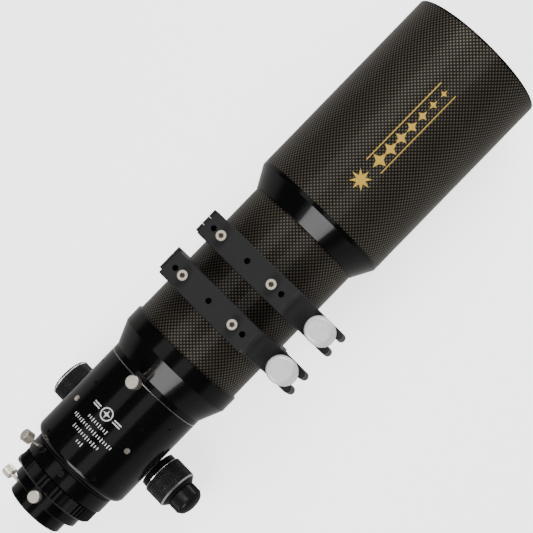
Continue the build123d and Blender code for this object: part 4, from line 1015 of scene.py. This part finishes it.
@dataclass
class FocusDrive:
    """Coarse focus knobs with square knurling."""

    shop: Workshop
    knurl_depth: float = 0.55 * MM
    knurl_pitch: float = 1.55 * MM
    steps_per_cell: int = 6
    ridges: int = 66
    chamfer: float = 0.45 * MM
    hub_share: float = 0.907
    bore: float = 3.0 * MM
    groove_depth: float = 0.8 * MM
    crown: float = 1.5 * MM
    clamp_face: float = 15.3 * MM
    dish_margin: float = 5.0 * MM
    dish_depth: float = 1.2 * MM
    bright_depth: float = 1.6 * MM

    def _band(self, low: float, high: float, radius: float) -> list[Corner]:
        """Corners along a knurled band, close enough together to hold the knurl.

        Args:
            low: Station where the band starts.
            high: Station where it ends.
            radius: Its radius.

        Returns:
            The corners.
        """
        count = max(2, round(abs(high - low) / (self.knurl_pitch / self.steps_per_cell)))
        return [(low + (high - low) * number / count, radius, 0.0) for number in range(count + 1)]

    def _neck(self, inner: float, hub: float, grip_start: float) -> list[Corner]:
        """Corners of the plain hub and of the groove before the grip.

        Args:
            inner: Distance of the knob's inner end from the middle plane.
            hub: Radius of the hub.
            grip_start: Distance of the grip's inner end.

        Returns:
            The corners.
        """
        floor = hub - self.groove_depth
        return [(inner, self.bore, 0.0), (inner, hub - 0.4 * MM, 0.0), (inner + 0.4 * MM, hub, 0.0),
                (grip_start - 1.9 * MM, hub, 0.0), (grip_start - 1.5 * MM, floor, 0.0),
                (grip_start - 0.7 * MM, floor, 0.0), (grip_start, hub, 0.0)]

    def _face(self, side: Side, outer: float, taper: float, radius: float) -> list[Corner]:
        """Corners of the outer face: flat round the fine knob, or dished.

        Args:
            side: Side that the knob is on.
            outer: Distance of the face from the middle plane.
            taper: Radius where the crown's slope ends.
            radius: Radius of the grip.

        Returns:
            The corners.
        """
        if side is Side.CLAMP:
            return [(outer - 0.4 * MM, self.clamp_face + 0.4 * MM, 0.3 * MM), (outer, self.clamp_face, 0.0),
                    (outer, self.bore, 0.0)]
        dish, floor = radius - self.dish_margin, outer - self.dish_depth
        return [(outer, taper - 0.6 * MM, 0.2 * MM), (outer, dish, 0.3 * MM),
                (floor, dish - 1.0 * MM, 0.3 * MM), (floor, self.bore, 0.0)]

    def _bright(self, side: Side, grip_start: float, grip_end: float) -> tuple[tuple[float, float], ...]:
        """Stretches of bare metal on the grip's turned edges."""
        if side is Side.HINGE:
            return ((grip_end - 1.6 * MM, grip_end - 0.1 * MM),)
        return ((grip_start - 0.1 * MM, grip_start + 0.7 * MM), (grip_end - 0.3 * MM, grip_end + 1.45 * MM))

    def _coarse(self, node: str, grip_start: float, grip_end: float, side: Side) -> None:
        """Build one coarse knob from the middle plane outward.

        Args:
            node: The CAD node that it replaces.
            grip_start: Distance of the grip's inner end from the middle plane.
            grip_end: Distance of its outer end.
            side: Side that the knob is on.
        """
        low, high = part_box(node)
        radius = (high.x - low.x) / 2
        inner, outer = sorted((abs(low.y), abs(high.y)))
        taper = radius - self.crown
        knurl_start, knurl_end = grip_start + self.chamfer, grip_end - self.chamfer
        corners = self._neck(inner, radius * self.hub_share, grip_start)
        corners += [(grip_start, radius - self.chamfer, 0.0)]
        corners += self._band(knurl_start, knurl_end, radius)
        corners += [(grip_end - 0.2 * MM, radius - 0.25 * MM, 0.0), (grip_end, radius - 0.1 * MM, 0.0),
                    (grip_end + 1.4 * MM, taper, 0.15 * MM)]
        corners += self._face(side, outer, taper, radius)
        points = [(side.value * station, reach) for station, reach in rounded(corners)]
        first, last = sorted((side.value * knurl_start, side.value * knurl_end))
        rows = round((last - first) / self.knurl_pitch)
        relief = GridKnurl(first, last, self.ridges, (last - first) / rows, self.knurl_depth,
                           radius - 0.01 * MM)
        centre = middle(node)
        spindle = Spindle(centre.x, centre.z, self.steps_per_cell * self.ridges)
        knob = spindle.turned(f"{node}_knurled", points, relief)
        finish = Banded(centre.x, centre.z, self._bright(side, grip_start, grip_end),
                        radius - self.bright_depth)
        material = self.shop.material(f"{node}_finish", finish)
        self.shop.fit(knob, "coarse_drive", Slot.BLACK_ANODISED, material, [node])

    def build(self) -> None:
        """Build both coarse knobs."""
        self._coarse("coarse_knob_right", 55.0 * MM, 76.5 * MM, Side.CLAMP)
        self._coarse("coarse_knob_left", 57.0 * MM, 80.5 * MM, Side.HINGE)


@dataclass(frozen=True)
class SoftBox:
    """Rectangular light: its name, place, target, sides in metres and power in watts."""

    name: str
    place: Vector
    target: Vector
    sides: tuple[float, float]
    power: float

    def hang(self) -> None:
        """Add the light to the scene."""
        data = bpy.data.lights.new(self.name, "AREA")
        data.shape = "RECTANGLE"
        data.size, data.size_y = self.sides
        data.energy = self.power
        light = bpy.data.objects.new(self.name, data)
        light.location = self.place
        light.rotation_euler = (self.target - self.place).to_track_quat("-Z", "Y").to_euler()
        bpy.context.scene.collection.objects.link(light)


@dataclass
class Studio:
    """Pale floor, soft lights and the camera."""

    roll: float = math.radians(14.5)
    tilt: float = math.radians(45.8)
    distance: float = 1327.6 * MM
    focal: float = 94.2
    sensor: float = 36.0
    aim_ahead: float = 33.55 * MM
    aim_above: float = 2.81 * MM
    floor_glow: float = 2.3
    floor_size: float = 0.62
    floor_colour: Colour = (0.82, 0.82, 0.82)
    floor_gap: float = 0.2 * MM
    horizon_light: Colour = (0.45, 0.44, 0.43)
    sky_light: Colour = (0.035, 0.035, 0.036)
    sky_height: float = 0.20
    panel_height: float = 1.9
    panel_sides: tuple[float, float] = (3.0, 0.9)
    panel_power: float = 8.5

    def build(self) -> None:
        """Set the floor, the world, the lights and the camera."""
        self._floor()
        self._world()
        self._lights()
        self._camera()

    def _floor(self) -> None:
        """Pale floor that the ring bases stand on, left out of glossy reflections."""
        data = bpy.data.meshes.new("floor")
        size = self.floor_size
        level = CAD_BOX[0][2] - self.floor_gap
        corners = [(-size, -size, level), (size, -size, level), (size, size, level), (-size, size, level)]
        data.from_pydata(corners, [], [(0, 1, 2, 3)])
        floor = bpy.data.objects.new("floor", data)
        bpy.context.scene.collection.objects.link(floor)
        tree = ShaderTree("floor_paper")
        tree.set(Base_Color=self.floor_colour, Roughness=0.8, Emission_Color=(1.0, 1.0, 1.0),
                 Emission_Strength=self.floor_glow)
        floor.data.materials.append(tree.material)
        floor.visible_glossy = False

    def _world(self) -> None:
        """Dark surroundings that grow paler towards the horizon and below it."""
        world = bpy.data.worlds.new("studio")
        bpy.context.scene.world = world
        world.use_nodes = True
        nodes, links = world.node_tree.nodes, world.node_tree.links
        background = nodes["Background"]
        place = nodes.new("ShaderNodeTexCoord")
        split = nodes.new("ShaderNodeSeparateXYZ")
        ramp = nodes.new("ShaderNodeValToRGB")
        links.new(place.outputs["Generated"], split.inputs[0])
        links.new(split.outputs["Z"], ramp.inputs[0])
        links.new(ramp.outputs[0], background.inputs["Color"])
        low, high = ramp.color_ramp.elements
        low.position, low.color = 0.0, (*self.horizon_light, 1.0)
        high.position, high.color = self.sky_height, (*self.sky_light, 1.0)
        background.inputs["Strength"].default_value = 1.0

    def _lights(self) -> None:
        """Soft boxes behind and ahead of the tube, and two weak panels overhead with a gap between."""
        aim = Vector((0.0, 0.0, AXIS_HEIGHT))
        boxes = [SoftBox("soft_box_rear", Vector((-1.30, -0.35, 1.20)), aim, (1.1, 0.9), 30.0),
                 SoftBox("soft_box_front", Vector((1.45, 0.25, 1.20)), aim, (1.1, 1.0), 40.0)]
        for name, y in (("panel_hinge_side", 0.62), ("panel_clamp_side", -0.98)):
            boxes.append(SoftBox(name, Vector((0.0, y, self.panel_height)), Vector((0.0, y, 0.0)),
                                 self.panel_sides, self.panel_power))
        for box in boxes:
            box.hang()

    def _camera(self) -> None:
        """Camera looking down at the tube, rolled about its line of sight."""
        back = Vector((0.0, -math.sin(self.roll), math.cos(self.roll)))
        across = Vector((0.0, math.cos(self.roll), math.sin(self.roll)))
        along = Vector((1.0, 0.0, 0.0))
        right = along * math.cos(self.tilt) - across * math.sin(self.tilt)
        up = along * math.sin(self.tilt) + across * math.cos(self.tilt)
        aim = Vector((self.aim_ahead, 0.0, AXIS_HEIGHT)) + across * self.aim_above
        data = bpy.data.cameras.new("camera")
        data.sensor_width = self.sensor
        data.lens = self.focal
        camera = bpy.data.objects.new("camera", data)
        bpy.context.scene.collection.objects.link(camera)
        turn = Matrix((right, up, back)).transposed().to_4x4()
        camera.matrix_world = Matrix.Translation(aim + back * self.distance) @ turn
        bpy.context.scene.camera = camera


def main() -> None:
    """Build every assembly round the frame."""
    logging.basicConfig(level=logging.INFO, format="%(name)s: %(message)s")
    shop = Workshop()
    Studio().build()
    for assembly in (OpticalTube(shop), TubeRings(shop), DewShield(shop), Focuser(shop), FocusDrive(shop)):
        assembly.build()
    shop.dress_rest()


if __name__ == "__main__":
    main()
